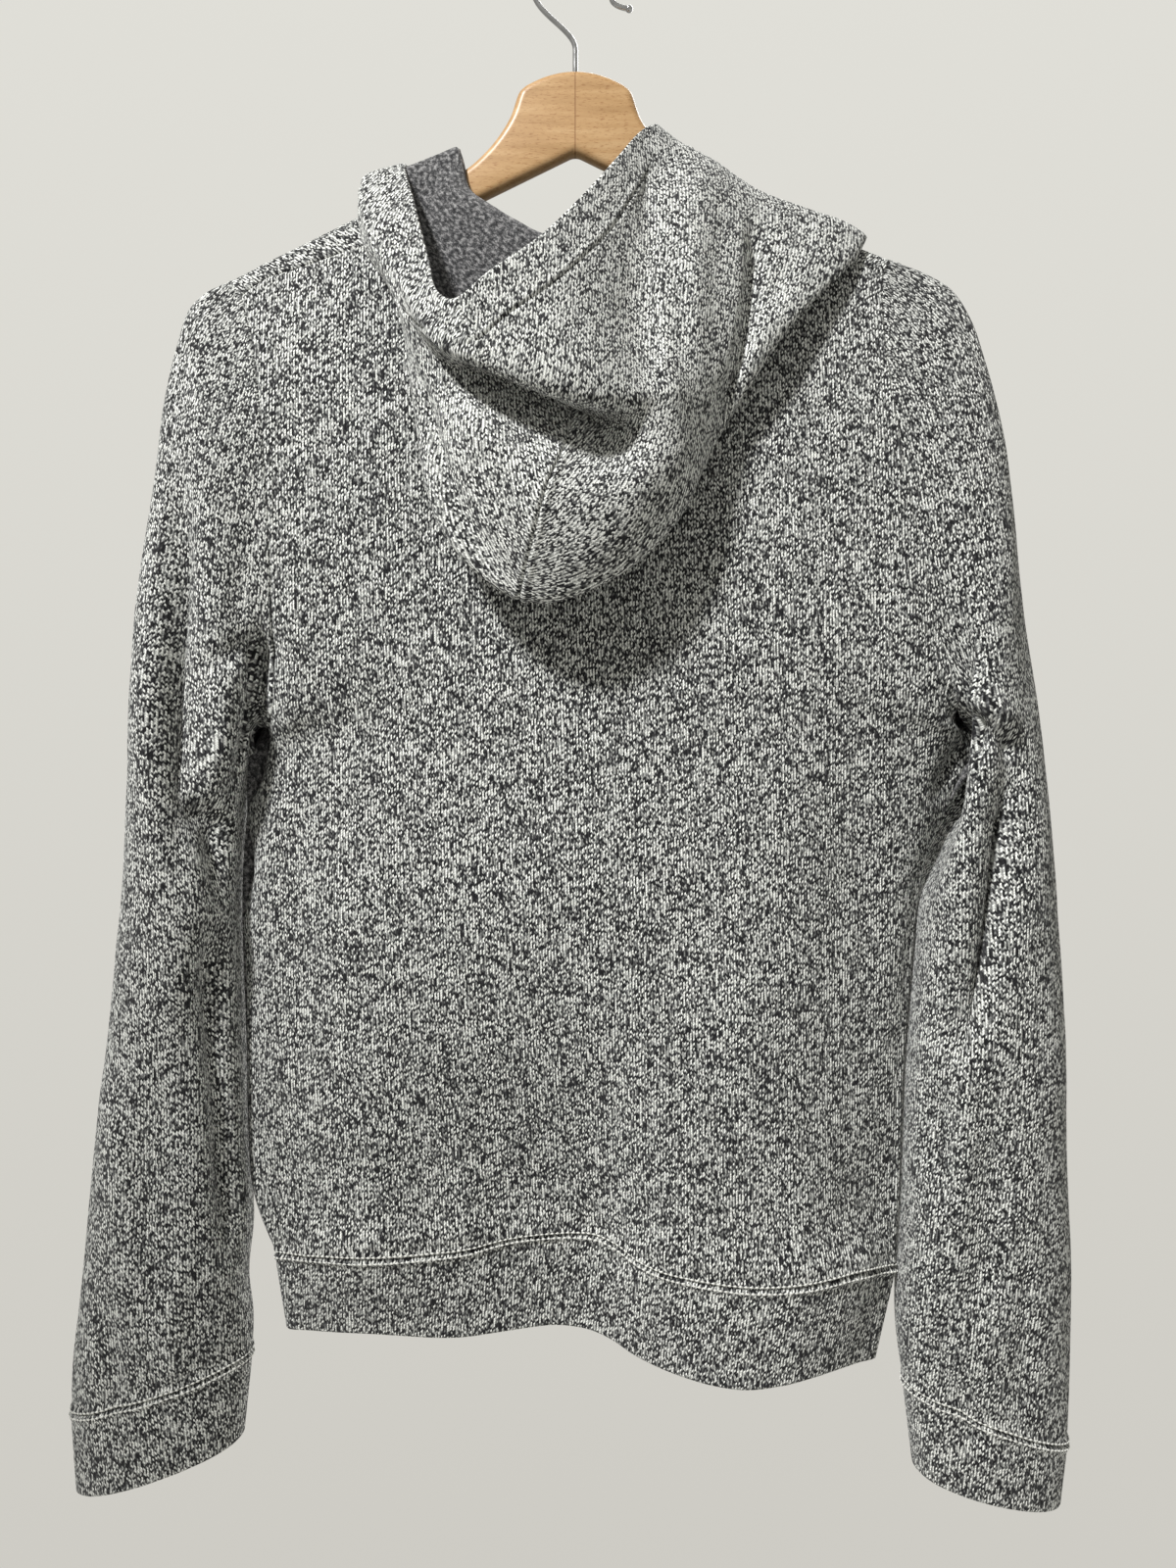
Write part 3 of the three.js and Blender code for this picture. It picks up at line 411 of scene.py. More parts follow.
def first_row_depth(below, top_x, row, first_rows):
    """The front panel's first rows go over the ridge, or stay close below its neckline."""
    if below < 0:
        degrees = ROUND_ARMHOLE[abs(row - SEAM_CORNER)]
        depth = LEFT_TOP[2] - armhole("left", degrees, 1)[2]
        return math.copysign(1, row - SEAM_CORNER) * depth if row != SEAM_CORNER else 0.0
    opening = NECK_RIM + NECK_RIM_CENTRE * float(smooth(1 - abs(top_x) / ARM_ROOT_X))
    return below + opening * (row / first_rows) ** 2


def body_place(face, row, column, columns, edges):
    """A place on one half of the body, in its grid's own row and column."""
    left, right = edges["left"], edges["right"]
    last_row = len(left) - 1
    if column == 0:
        return left[row]
    if column == len(columns) - 1:
        return right[row]
    part, to_x, side = columns[column]
    near_edge = edges[side]
    near_x = [mix(near_edge[k][0], to_x, part) for k in (0, row)]
    top_x = near_x[0]
    below = top_depth(face, part, to_x)
    top = shoulder_place(top_x, below)
    if row == 0:
        return top
    hem = HEM_BACK if face < 0 else HEM_FRONT
    f = (top_x - left[0][0]) / (right[0][0] - left[0][0])
    hem_x = mix(HEM_BACK["x"][0], HEM_BACK["x"][-1], f)
    hem_z = float(through(hem, "x", hem_x, "z"))
    hem_y = float(through(hem, "x", hem_x, "y"))
    if row == last_row:
        return np.array([hem_x, hem_y, hem_z])
    down = row / last_row
    x = mix(near_x[1], mix(left[row][0], right[row][0], f), float(smooth(down / SPREAD_BY)))
    first_rows = 2 * SEAM_CORNER if face > 0 else 0
    if face > 0 and row <= first_rows:
        return shoulder_place(near_x[1], first_row_depth(below, top_x, row, first_rows))
    start = top[2]
    if face > 0:
        start = float(ridge_z(top_x)) - first_row_depth(below, top_x, first_rows, first_rows)
    to_hem = float(smooth((down - HEM_FORM_FROM) / (1 - HEM_FORM_FROM)))
    by_edges = (
        mix(left[row][2], right[row][2], f)
        + (top[2] - mix(left[0][2], right[0][2], f)) * (1 - float(smooth(down / TOP_FORM_TO)))
        + (hem_z - mix(left[-1][2], right[-1][2], f)) * to_hem
    )
    evenly = mix(start, hem_z, (row - first_rows) / (last_row - first_rows))
    z = mix(by_edges, evenly, float(smooth(min(f, 1 - f) / BESIDE_EDGE)))
    free = face * float(swing(float(ridge_z(x)) - z, face_depth(face)))
    middle = mix(free, hem_y, float(smooth((HEM_WAVE_Z - z) / HEM_WAVE_REACH)))
    side_y = mix(left[row][1], right[row][1], f)
    rounded = (1 - abs(2 * f - 1) ** 2.6) ** 0.6
    edge_share = float(clamp01(abs(side_y / free))) if row < last_row - SIDE_ROWS else 0.0
    return np.array([x, mix(side_y, middle, mix(rounded, 1, edge_share**2)), z])


def body_half(face):
    columns = columns_across(face)
    edges = {side: side_edge(side, face) for side in ("left", "right")}
    return np.array([
        [body_place(face, row, column, columns, edges) for column in range(len(columns))]
        for row in range(len(edges["left"]))
    ])


def waistband_grid(back, front):
    """A closed ring, along the back and then the front, from the seam down."""
    seam = np.concatenate([back[-1], front[-1][-2::-1]])
    low = []
    for k, place in enumerate(seam):
        hem = HEM_BACK if k < back.shape[1] else HEM_FRONT
        low_y = float(through(hem, "x", place[0], "low_y"))
        low_z = float(through(hem, "x", place[0], "low"))
        low.append([place[0] * BAND_NARROWS + BAND_ASIDE, low_y, low_z])
    low = np.array(low)
    return np.array([seam, mix(seam, low, 0.5), low])


# ---------------------------------------------------------------- the sleeves' form
AROUND = [(degrees, -1) for degrees in reversed(ROUND_ARMHOLE)]
AROUND += [(degrees, 1) for degrees in ROUND_ARMHOLE[1:]]


def sleeve_ring(side, ring):
    outer_x, outer_z, under_x, under_z, back, front, drape = ring
    bow = ARMHOLES[side]["bow"] * (1 - drape)
    places = []
    for k, (degrees, face) in enumerate(AROUND):
        even = abs(180 - 360 * k / (len(AROUND) - 1))
        down, bulge = round_ring(mix(degrees, even, drape))
        x = mix(outer_x, under_x, down) + bow * bulge**1.6
        z = mix(outer_z, under_z, down)
        reach = back if face < 0 else front
        on_arm = abs(x) < HANGER_SPAN / 2
        top = max(outer_z, float(ridge_z(x))) if on_arm else outer_z
        bent = float(swing(top - z, reach)) * closing(degrees, bulge)
        y = 0 if degrees == 180 else face * mix(bent, reach * bulge**0.75, drape)
        places.append([x, y, z])
    return places


def sleeve_grid(side):
    hole = [armhole(side, degrees, face) for degrees, face in AROUND]
    rings = np.array(list(SLEEVES[side].values())).T
    return np.array([hole] + [sleeve_ring(side, ring) for ring in rings])


def cuff_grid(side):
    seam = sleeve_grid(side)[-1]
    low = np.array(sleeve_ring(side, CUFFS[side]))
    return np.array([seam, mix(seam, low, 0.5), low])


# ---------------------------------------------------------------- the hood's form
LEFT_NECK = len(FRONT_NECK["x"]) // 2
LEFT_RIDGE = LEFT_NECK - SEAM_CORNER
HOOD_COLUMNS = 2 * LEFT_NECK + BACK_NECK_COLUMNS


def neck_seam(back, front):
    """The neck seam as the body's own places, from the front centre round and back to it."""
    first = SHOULDER_COLUMNS
    on_front = front[0][first : first + len(FRONT_NECK["x"])]
    on_back = back[0][first : first + BACK_NECK_COLUMNS + 1]
    return np.concatenate([
        on_front[LEFT_NECK:0:-1],
        on_back,
        on_front[-2 : LEFT_NECK - 1 : -1],
    ])


def hood_section(column, neck):
    """The places that one section of the hood passes, from the rim to the neck seam."""
    rim, brow, tuck, belly, fold, roll = (
        through(HOOD, "at", column, name) for name in HOOD_PLACES
    )
    casing = mix(rim, brow, min(CASING_SHARE, CASING / float(np.linalg.norm(brow - rim))))
    inside = mix(fold, roll, 0.5)
    lip = mix(fold, roll, LIP_SHARE)
    on_front = column < LEFT_RIDGE or column > HOOD_COLUMNS - LEFT_RIDGE
    face = 1 if on_front else -1
    for place in (inside, lip):
        below = float(ridge_z(place[0])) - place[2]
        clear = face * (float(swing(max(0, below), face_depth(face))) + OFF_BACK)
        place[1] = mix(place[1], clear, float(smooth(below / BELOW_RIDGE)))
        if abs(place[1]) < NEAR_RIDGE:
            place[2] = max(place[2], float(ridge_z(place[0])) + OFF_RIDGE)
    upright = float(smooth((FOLD_UP - abs(fold[1])) / FOLD_UP))
    off = units(np.array([0.0, face * (1 - upright), upright + 0.1]))
    if np.linalg.norm(fold - belly) < 2 * FOLD_SPAN:
        outer = mix(fold, belly, 0.4)
        inner = mix(fold, inside, 0.4)
    else:
        outer = fold + units(belly - fold) * FOLD_SPAN + off * FOLD_ROUND
        inner = fold + units(inside - fold) * FOLD_SPAN - off * FOLD_ROUND
    return np.array([
        rim, casing, brow, tuck, belly, outer, fold, inner, inside, lip, roll, neck,
    ])


def curve_through(places, k, t):
    """A centripetal curve through places: stretch k, from 0 to 1 along it."""
    before = places[max(0, k - 1)]
    start = places[k]
    end = places[k + 1]
    after = places[min(len(places) - 1, k + 2)]

    def knot(a, b):
        return math.sqrt(max(0.25, float(np.linalg.norm(b - a))))

    d0, d1, d2 = knot(before, start), knot(start, end), knot(end, after)
    slope_start = (end - start) / d1 + (start - before) / d0 - (end - before) / (d0 + d1)
    slope_end = (end - start) / d1 + (after - end) / d2 - (after - start) / (d1 + d2)
    return hermite(start, end, slope_start * d1, slope_end * d1, t)


def hood_grid(back, front, step=0.5):
    """The hood, a row for each stretch's part and a column for each step round the neck."""
    seam = neck_seam(back, front)
    neck_table = {"at": np.arange(len(seam), dtype=float), "place": seam}
    sections = []
    for column in np.arange(0, HOOD_COLUMNS + step / 2, step):
        neck = through(neck_table, "at", column, "place")
        sections.append(hood_section(column, neck))
    lines = []
    for section in sections:
        line = []
        for stretch, count in enumerate(HOOD_STRETCHES):
            line += [curve_through(section, stretch, k / count) for k in range(count)]
        lines.append(line + [section[-1]])
    return np.array(lines).transpose(1, 0, 2)


# ---------------------------------------------------------------- cloth made fine
def flatten(grid, rounds=80):
    """Lays a grid of places out flat with as little stretch as its shape allows.

    Each triangle of the grid is turned as a whole, then all are joined by least squares.
    """
    rows, columns = grid.shape[:2]
    flat = np.zeros((rows, columns, 2))
    flat[:, 1:, 0] = np.cumsum(lengths(grid, 1).mean(axis=0))
    flat[1:, :, 1] = -np.cumsum(lengths(grid, 0), axis=0)
    flat[:, :, 1] -= flat[[-1], :, 1].copy()
    flat = flat.reshape(-1, 2)
    number = np.arange(rows * columns).reshape(rows, columns)
    a, b, c, d = number[:-1, :-1], number[:-1, 1:], number[1:, 1:], number[1:, :-1]
    halves = [np.stack(three, axis=-1).reshape(-1, 3) for three in ((a, b, c), (a, c, d))]
    triangles = np.concatenate(halves)
    corners = grid.reshape(-1, 3)[triangles]
    one, two = corners[:, 1] - corners[:, 0], corners[:, 2] - corners[:, 0]
    along = np.maximum(1e-3, np.linalg.norm(one, axis=1))
    own = np.zeros((len(triangles), 3, 2))
    own[:, 1, 0] = along
    own[:, 2, 0] = (one * two).sum(axis=1) / along
    own[:, 2, 1] = -np.linalg.norm(np.cross(one, two), axis=1) / along
    total = np.zeros((len(flat), len(flat)))
    edges = []
    for k in range(3):
        i, j, o = k, (k + 1) % 3, (k + 2) % 3
        p, q = own[:, i] - own[:, o], own[:, j] - own[:, o]
        area = np.abs(p[:, 0] * q[:, 1] - p[:, 1] * q[:, 0])
        weight = np.clip((p * q).sum(axis=1) / np.maximum(area, 1e-3), 0.05, 4)
        ends = triangles[:, i], triangles[:, j]
        for near, far in (ends, ends[::-1]):
            np.add.at(total, (near, near), weight)
            np.add.at(total, (near, far), -weight)
        edges.append((*ends, weight[:, None] * (own[:, i] - own[:, j])))
    solved = np.linalg.inv(total + 1e-6 * np.eye(len(flat)))
    for _ in range(rounds):
        cosine, sine = 0.0, 0.0
        for near, far, way in edges:
            now = flat[near] - flat[far]
            cosine = cosine + (now * way).sum(axis=1)
            sine = sine + now[:, 1] * way[:, 0] - now[:, 0] * way[:, 1]
        size = np.maximum(1e-9, np.hypot(cosine, sine))
        cosine, sine = cosine / size, sine / size
        pull = np.zeros_like(flat)
        for near, far, way in edges:
            turned = np.stack([
                cosine * way[:, 0] - sine * way[:, 1], sine * way[:, 0] + cosine * way[:, 1],
            ], axis=1)
            np.add.at(pull, near, turned)
            np.add.at(pull, far, -turned)
        flat = solved @ pull
    return flat.reshape(rows, columns, 2)


def flatten_halves(grid):
    """Both halves of the hood laid flat, their wales along the rim, as four columns.

    Each half is carried on past the centre seam as its own mirror, so that it ends smoothly.
    """
    middle = grid.shape[1] // 2
    left = flatten(grid[:, : middle + 1])
    right = flatten(grid[:, middle:])
    past_left = 2 * left[:, [-1]] - left[:, -2::-1]
    past_right = 2 * right[:, [0]] - right[:, :0:-1]
    left = np.concatenate([left, past_left], axis=1)
    right = np.concatenate([past_right, right], axis=1)
    return np.concatenate([left[..., ::-1], right[..., ::-1]], axis=2)


def fractions(length, spacing, near_start, near_end):
    """Where a stretch of some length is cut, closer beside a seam at its start or end."""
    reach = length * (0.45 if near_start and near_end else 0.9)
    low = [step for step in SEAM_STEPS if step < reach] if near_start else []
    high = [length - step for step in SEAM_STEPS if step < reach][::-1] if near_end else []
    start = low[-1] if low else 0.0
    end = high[0] if high else length
    even = np.linspace(start, end, max(1, round((end - start) / spacing)) + 1)
    cuts = np.unique(np.round(np.concatenate([[0.0], low, even, high]) / length, 5))
    return cuts[cuts < 0.9999]


def spline(points, spacing, seams=(), closed=False):
    """Smooth curves through points along axis 0, cut at a spacing and closer beside seams.

    seams are the numbers of the points that lie on a seam. Also returns each point's line.
    """
    gaps = np.maximum(0.4, lengths(points[..., :3], 0))[..., None]
    slopes = np.diff(points, axis=0) / gaps
    tangents = np.empty_like(points)
    inner = slopes[:-1] * gaps[1:] + slopes[1:] * gaps[:-1]
    tangents[1:-1] = inner / (gaps[:-1] + gaps[1:])
    if closed:
        wrapped = slopes[-1] * gaps[0] + slopes[0] * gaps[-1]
        tangents[0] = tangents[-1] = wrapped / (gaps[0] + gaps[-1])
    else:
        tangents[0] = 1.5 * slopes[0] - 0.5 * tangents[1]
        tangents[-1] = 1.5 * slopes[-1] - 0.5 * tangents[-2]
    lines = []
    knots = []
    for k, gap in enumerate(gaps):
        knots.append(len(lines))
        typical = float(np.percentile(gap, 70))
        for t in fractions(typical, spacing, k in seams, k + 1 in seams):
            slope = tangents[k] * gap, tangents[k + 1] * gap
            lines.append(hermite(points[k], points[k + 1], *slope, t))
    knots.append(len(lines))
    lines.append(points[-1])
    return np.array(lines), knots


def swap(grid):
    return grid.transpose(1, 0, 2)


def normals_of(grid, closed, turned):
    """Outward directions at every place of a fine grid."""
    if closed:
        ring = np.concatenate([grid[:, -2:-1], grid, grid[:, 1:2]], axis=1)
        across = ring[:, 2:] - ring[:, :-2]
    else:
        across = np.gradient(grid, axis=1)
    return units(np.cross(across, np.gradient(grid, axis=0))) * (-1 if turned else 1)


def soften(field, closed, rounds=2):
    """A grid of vectors averaged with its neighbours, its border kept."""
    for _ in range(rounds):
        inner = field[1:-1, 1:-1] * 4 + field[:-2, 1:-1] + field[2:, 1:-1]
        inner += field[1:-1, :-2] + field[1:-1, 2:]
        if closed:
            sides = field[1:-1, 0] * 4 + field[:-2, 0] + field[2:, 0]
            sides += field[1:-1, -2] + field[1:-1, 1]
            field[1:-1, 0] = field[1:-1, -1] = sides / 8
        field[1:-1, 1:-1] = inner / 8
    return field


def ripples(places, seed, wave, count=14):
    """Gentle unevenness of hung cloth: a sum of long waves, about 1 high at the most."""
    rng = np.random.default_rng(seed)
    total = np.zeros(places.shape[:-1])
    for _ in range(count):
        direction = units(rng.normal(size=3) * np.array([1.0, 0.6, 0.7]))
        length = wave * rng.uniform(0.6, 1.7)
        total += np.cos(places @ direction * (2 * math.pi / length) + rng.uniform(0, 6.3))
    return total / math.sqrt(2 * count)


def from_border(grid, closed):
    """How far each place is from the first row, the last row and the side edges, along it."""
    down = np.zeros(grid.shape[:2])
    down[1:] = np.cumsum(lengths(grid, 0), axis=0)
    over = np.zeros(grid.shape[:2])
    over[:, 1:] = np.cumsum(lengths(grid, 1), axis=1)
    far = np.full_like(down, 1e3)
    left = far if closed else over
    right = far if closed else over[:, [-1]] - over
    return {"top": down, "bottom": down[[-1]] - down, "left": left, "right": right}


# ---------------------------------------------------------------- creases
# A crease is a bent line through three places, x and z. It lifts the cloth on its line, or sinks
# it below zero, spreads so far to each side of its direction, and fades over a share of its
# length at its start and at its end.
CREASES = table("face x0 z0 x1 z1 x2 z2 lift left right fade_in fade_out", [
    # left underarm: the long trough, the rounded flap beside it, the shaded fold under it
    [-1, -222, -280, -220, -420, -218, -575, -17, 12, 9, 0.5, 0.4],
    [-1, -197, -400, -190, -452, -206, -494, 7, 11, 6, 0.4, 0.25],
    [-1, -174, -408, -176, -450, -192, -506, -15, 4, 7, 0.15, 0.3],
    [-1, -206, -432, -190, -408, -172, -416, -7, 6, 6, 0.4, 0.1],
    [-1, -212, -502, -192, -512, -196, -572, -12, 8, 8, 0.2, 0.4],
    [-1, -236, -395, -238, -440, -240, -520, 3, 6, 10, 0.5, 0.5],
    [-1, -203, -560, -200, -650, -194, -770, -10, 6, 7, 0.2, 0.2],
    [-1, -222, -560, -220, -620, -219, -700, 2.5, 6, 9, 0.4, 0.5],
    [-1, -176, -300, -183, -380, -196, -440, -2.5, 6, 8, 0.5, 0.5],
    # right underarm
    [-1, 246, -450, 228, -560, 208, -655, -14, 12, 10, 0.3, 0.3],
    [-1, 242, -486, 229, -570, 212, -648, -11, 4, 4, 0.25, 0.3],
    [-1, 205, -640, 202, -685, 208, -735, -6, 7, 7, 0.4, 0.5],
    [-1, 226, -560, 218, -620, 212, -680, 3.5, 9, 6, 0.4, 0.4],
    [-1, 190, -416, 222, -438, 241, -464, 8, 9, 5, 0.5, 0.2],
    [-1, 210, -446, 230, -456, 243, -472, -9, 4, 6, 0.4, 0.1],
    [-1, 226, -462, 214, -480, 206, -505, -8, 5, 6, 0.3, 0.4],
    # sleeves
    [-1, 231, -640, 229, -740, 222, -800, -7, 12, 12, 0.4, 0.3],
    [-1, -190, -560, -226, -640, -240, -760, -4, 16, 16, 0.4, 0.4],
    [-1, -250, -300, -258, -380, -247, -470, 2.5, 9, 13, 0.5, 0.5],
    [-1, -268, -640, -250, -700, -246, -800, 3, 10, 12, 0.4, 0.4],
    [-1, -214, -740, -226, -785, -222, -818, 3.2, 7, 9, 0.5, 0.1],
    [-1, -262, -770, -256, -800, -258, -840, -2.6, 7, 7, 0.4, 0.1],
    [-1, 262, -330, 250, -420, 256, -520, -3, 12, 16, 0.5, 0.5],
    [-1, 268, -560, 262, -650, 268, -740, 2.6, 12, 14, 0.5, 0.5],
    [-1, 252, -740, 246, -790, 250, -838, -3, 7, 10, 0.4, 0.1],
    [-1, 196, -790, 208, -822, 224, -858, -4, 6, 7, 0.4, 0.1],
    [-1, 206, -350, 222, -390, 232, -440, 2.2, 12, 10, 0.5, 0.5],
    # body
    [-1, 152, -430, 160, -560, 155, -720, -4, 22, 22, 0.4, 0.4],
    [-1, -150, -480, -165, -560, -160, -660, -4, 18, 18, 0.4, 0.4],
    [-1, 92, -520, 98, -600, 96, -700, 3, 22, 22, 0.4, 0.4],
    [-1, -120, -640, -112, -690, -118, -750, 2.5, 16, 18, 0.5, 0.2],
    [-1, 30, -690, 38, -722, 34, -752, -2.2, 16, 14, 0.5, 0.1],
    [-1, -58, -700, -66, -728, -60, -750, 1.8, 12, 12, 0.5, 0.1],
    [-1, 128, -690, 134, -730, 130, -764, 2, 13, 15, 0.5, 0.1],
    [-1, -172, -754, -70, -746, 12, -743, 2.6, 9, 5, 0.1, 0.2],
    [-1, 18, -750, 80, -762, 184, -760, 2.6, 9, 5, 0.2, 0.1],
    [1, -223, -260, -225, -400, -222, -560, -8, 12, 12, 0.4, 0.4],
    [1, 232, -300, 236, -450, 226, -620, -8, 12, 12, 0.4, 0.4],
    [1, 110, -420, 126, -560, 120, -700, -4, 20, 24, 0.5, 0.4],
    [1, -96, -480, -118, -600, -110, -720, -4, 18, 20, 0.5, 0.4],
    [1, 20, -560, 12, -650, 24, -740, 3, 20, 20, 0.5, 0.2],
])

HOOD_CREASES = table("face x0 z0 x1 z1 x2 z2 lift left right fade_in fade_out", [
    [-1, 40, -186, 48, -255, 53, -320, 4, 8, 6, 0.4, 0.3],
    [-1, 94, -167, 92, -235, 70, -296, 4.5, 4.5, 9, 0.2, 0.3],
    [-1, 101, -168, 99, -238, 77, -300, -8, 5, 4.5, 0.2, 0.3],
    [-1, 30, -200, 30, -250, 36, -290, -2, 7, 7, 0.5, 0.4],
    [-1, -83, -262, -66, -360, -30, -380, -6, 4, 4, 0.15, 0.3],
    [-1, -62, -275, -50, -310, -20, -340, 2.5, 8, 8, 0.5, 0.4],
    [-1, -8, -292, -22, -330, -26, -372, 2.5, 7, 7, 0.4, 0.3],
    [-1, 118, -196, 112, -215, 100, -240, -2.5, 6, 6, 0.4, 0.5],
])


def crease_lift(places, face, crease):
    """How much one crease lifts each place of the cloth on its own face."""
    t = np.linspace(0, 1, 33)[:, None]
    ends = [np.array([crease[f"x{k}"], crease[f"z{k}"]]) for k in range(3)]
    line = (1 - t) ** 2 * ends[0] + 2 * t * (1 - t) * ends[1] + t**2 * ends[2]
    heading = units(np.gradient(line, axis=0))
    flat = places[..., [0, 2]].reshape(-1, 2)
    margin = 3 * max(crease["left"], crease["right"])
    near = np.all((flat > line.min(0) - margin) & (flat < line.max(0) + margin), axis=1)
    lift = np.zeros(len(flat))
    if near.any():
        away = flat[near][:, None] - line[None]
        distance = np.linalg.norm(away, axis=2)
        strength = smooth(t[:, 0] / crease["fade_in"]) * smooth((1 - t[:, 0]) / crease["fade_out"])
        aside = heading[None, :, 0] * away[..., 1] - heading[None, :, 1] * away[..., 0]
        spread = np.where(aside > 0, crease["left"], crease["right"])
        lift[near] = np.max(strength * np.exp(-((distance / spread) ** 2)), axis=1)
    return crease["lift"] * lift.reshape(face.shape) * face


def creased(places, normals, creases):
    """How much all creases lift each place, each on the face of the garment it is for."""
    lifts = np.zeros(places.shape[:2])
    for k in range(len(creases["face"])):
        crease = {name: column[k] for name, column in creases.items()}
        side = smooth((normals[..., 1] * crease["face"] - 0.12) / 0.4)
        lifts += crease_lift(places, side, crease)
    return lifts


# ---------------------------------------------------------------- cloth as meshes
def make_mesh(name, vertices, faces, loop_uv=None):
    """A smooth-shaded piece from vertices in millimetres, with the knit's own coordinates."""
    mesh = bpy.data.meshes.new(name)
    mesh.from_pydata((np.asarray(vertices) * MM).tolist(), [], faces)
    mesh.polygons.foreach_set("use_smooth", [True] * len(faces))
    if loop_uv is not None:
        layer = mesh.uv_layers.new(name="knit")
        layer.uv.foreach_set("vector", (np.asarray(loop_uv) * MM).astype(np.float32).ravel())
    mesh.update()
    piece = bpy.data.objects.new(name, mesh)
    bpy.context.scene.collection.objects.link(piece)
    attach(piece, "root")
    return piece


def shell(name, middle, normals, outer, inner, flat, closed, turned):
    """A sheet with two faces, outer and inner millimetres from its middle, joined at its edge."""
    rows, lines = middle.shape[:2]
    columns = lines - 1 if closed else lines
    across = np.arange(lines) % columns
    front = np.arange(rows)[:, None] * columns + across[None]
    edge = np.zeros((rows, columns), bool)
    edge[[0, -1]] = True
    if not closed:
        edge[:, [0, -1]] = True
    own = np.full((rows, columns), -1)
    own[~edge] = rows * columns + np.arange((~edge).sum())
    back = np.where(edge, front[:, :columns], own)[:, across]
    outside = (middle + normals * outer[..., None])[:, :columns].reshape(-1, 3)
    inside = (middle - normals * inner[..., None])[:, :columns][~edge]
    faces, corners = [], []
    around = [(0, 0), (0, 1), (1, 1), (1, 0)]
    for sheet, reverse in ((front, turned), (back, not turned)):
        order = around[::-1] if reverse else around
        cut = [(slice(r, rows - 1 + r), slice(c, lines - 1 + c)) for r, c in order]
        faces.append(np.stack([sheet[rc] for rc in cut], axis=-1).reshape(-1, 4))
        corners.append(np.stack([flat[rc] for rc in cut], axis=-2).reshape(-1, 4, 2))
    count = len(faces[0])
    piece = make_mesh(
        name,
        np.concatenate([outside, inside]),
        np.concatenate(faces).tolist(),
        np.concatenate(corners).reshape(-1, 2),
    )
    return piece, count


def half_round(distance, radius, full):
    """Half the thickness of cloth beside a rounded edge: nothing on the edge, full inside."""
    return full * np.sqrt(1 - (1 - clamp01(distance / radius)) ** 2)


def stretch_edges(middle, closed):
    """Lets a piece reach a little past its seam lines."""
    def reach(edge, inner):
        return edge + units(edge - inner) * SEAM_LAP

    middle[0] = reach(middle[0], middle[1])
    middle[-1] = reach(middle[-1], middle[-2])
    if not closed:
        middle[:, 0] = reach(middle[:, 0], middle[:, 1])
        middle[:, -1] = reach(middle[:, -1], middle[:, -2])
    return middle


def off_hanger(places):
    """0 where cloth lies on the hanger's arms, 1 where it hangs free."""
    return smooth((np.abs(places[..., 1]) - HANGER_THICK) / 10)


def fine_surface(grid, closed=False, turned=False, spacing=FINE, row_seams=(),
                 column_seams=(), lay_flat=flatten, ridge=0.8, wave=95, creases=CREASES):
    """The middle of a cloth made fine and creased, with where each place lies on the flat cut."""
    both = np.concatenate([grid, lay_flat(grid)], axis=2)
    both, _ = spline(both, spacing, (0, len(grid) - 1, *row_seams))
    both, columns_at = spline(swap(both), spacing, column_seams, closed)
    both = swap(both)
    middle = both[..., :3]
    normals = normals_of(middle, closed, turned)
    lift = ridge * (ripples(middle, 7, wave) + 0.3 * ripples(middle, 11, wave / 3))
    lift = (lift * off_hanger(middle) + creased(middle, normals, creases))[..., None]
    middle = middle + normals * soften(lift, closed)
    return {
        "middle": middle, "normals": normals_of(middle, closed, turned), "flat": both[..., 3:],
        "closed": closed, "turned": turned, "columns_at": columns_at,
    }


def bell(distance, high, at, wide):
    """A soft raised line at a distance from a seam, or a sunk one if high is below 0."""
    return high * np.exp(-(((distance - at) / wide) ** 2))


def lips(distance):
    """Relief beside a sewn seam: a soft raised lip, and past it a fine sunk line."""
    return bell(distance, 0.9, 2.4, 1.3) + bell(distance, -0.4, 5.4, 0.7)


EDGE_ROUND = 1.7  # how far in from its edge a piece reaches its full thickness
LIP_FULL = 0.8  # and the lip beside its seams its full height


def sewn_piece(name, surface, materials, rests_on, relief, columns=slice(None), half=0,
               thick=CLOTH, knit_inside=None, held="hung"):
    """One sewn piece as a mesh with rounded edges."""
    closed, turned = surface["closed"], surface["turned"]
    middle = surface["middle"][:, columns].copy()
    normals = surface["normals"][:, columns]
    flat = surface["flat"][:, columns, 2 * half : 2 * half + 2]
    edges = from_border(middle, closed)
    middle = stretch_edges(middle, closed)
    rim = np.minimum.reduce(list(edges.values()))
    full = thick(edges) if callable(thick) else thick / 2
    inner = half_round(rim, EDGE_ROUND, full)
    outer = inner + relief(edges) * smooth(rim / LIP_FULL)
    piece, count = shell("knit_" + name, middle, normals, outer, inner, flat, closed, turned)
    for material in materials:
        piece.data.materials.append(material)
    if len(materials) > 1:
        inside = np.zeros(2 * count, int)
        inside[count:] = 1
        if knit_inside is not None:
            same = knit_inside(edges)[:-1, :-1].ravel()
            inside[count:][same] = 0
        piece.data.polygons.foreach_set("material_index", inside)
    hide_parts(name)


STITCH_PITCH = 3.0
STITCH_AWAY = 1.7  # from the seam to each row of stitches beside it
STITCH_UP = 0.3  # from the cloth's surface to the middle of a stitch
STITCH_SIZE = (3.2, 1.6, 1.0)  # along the seam, across it and high


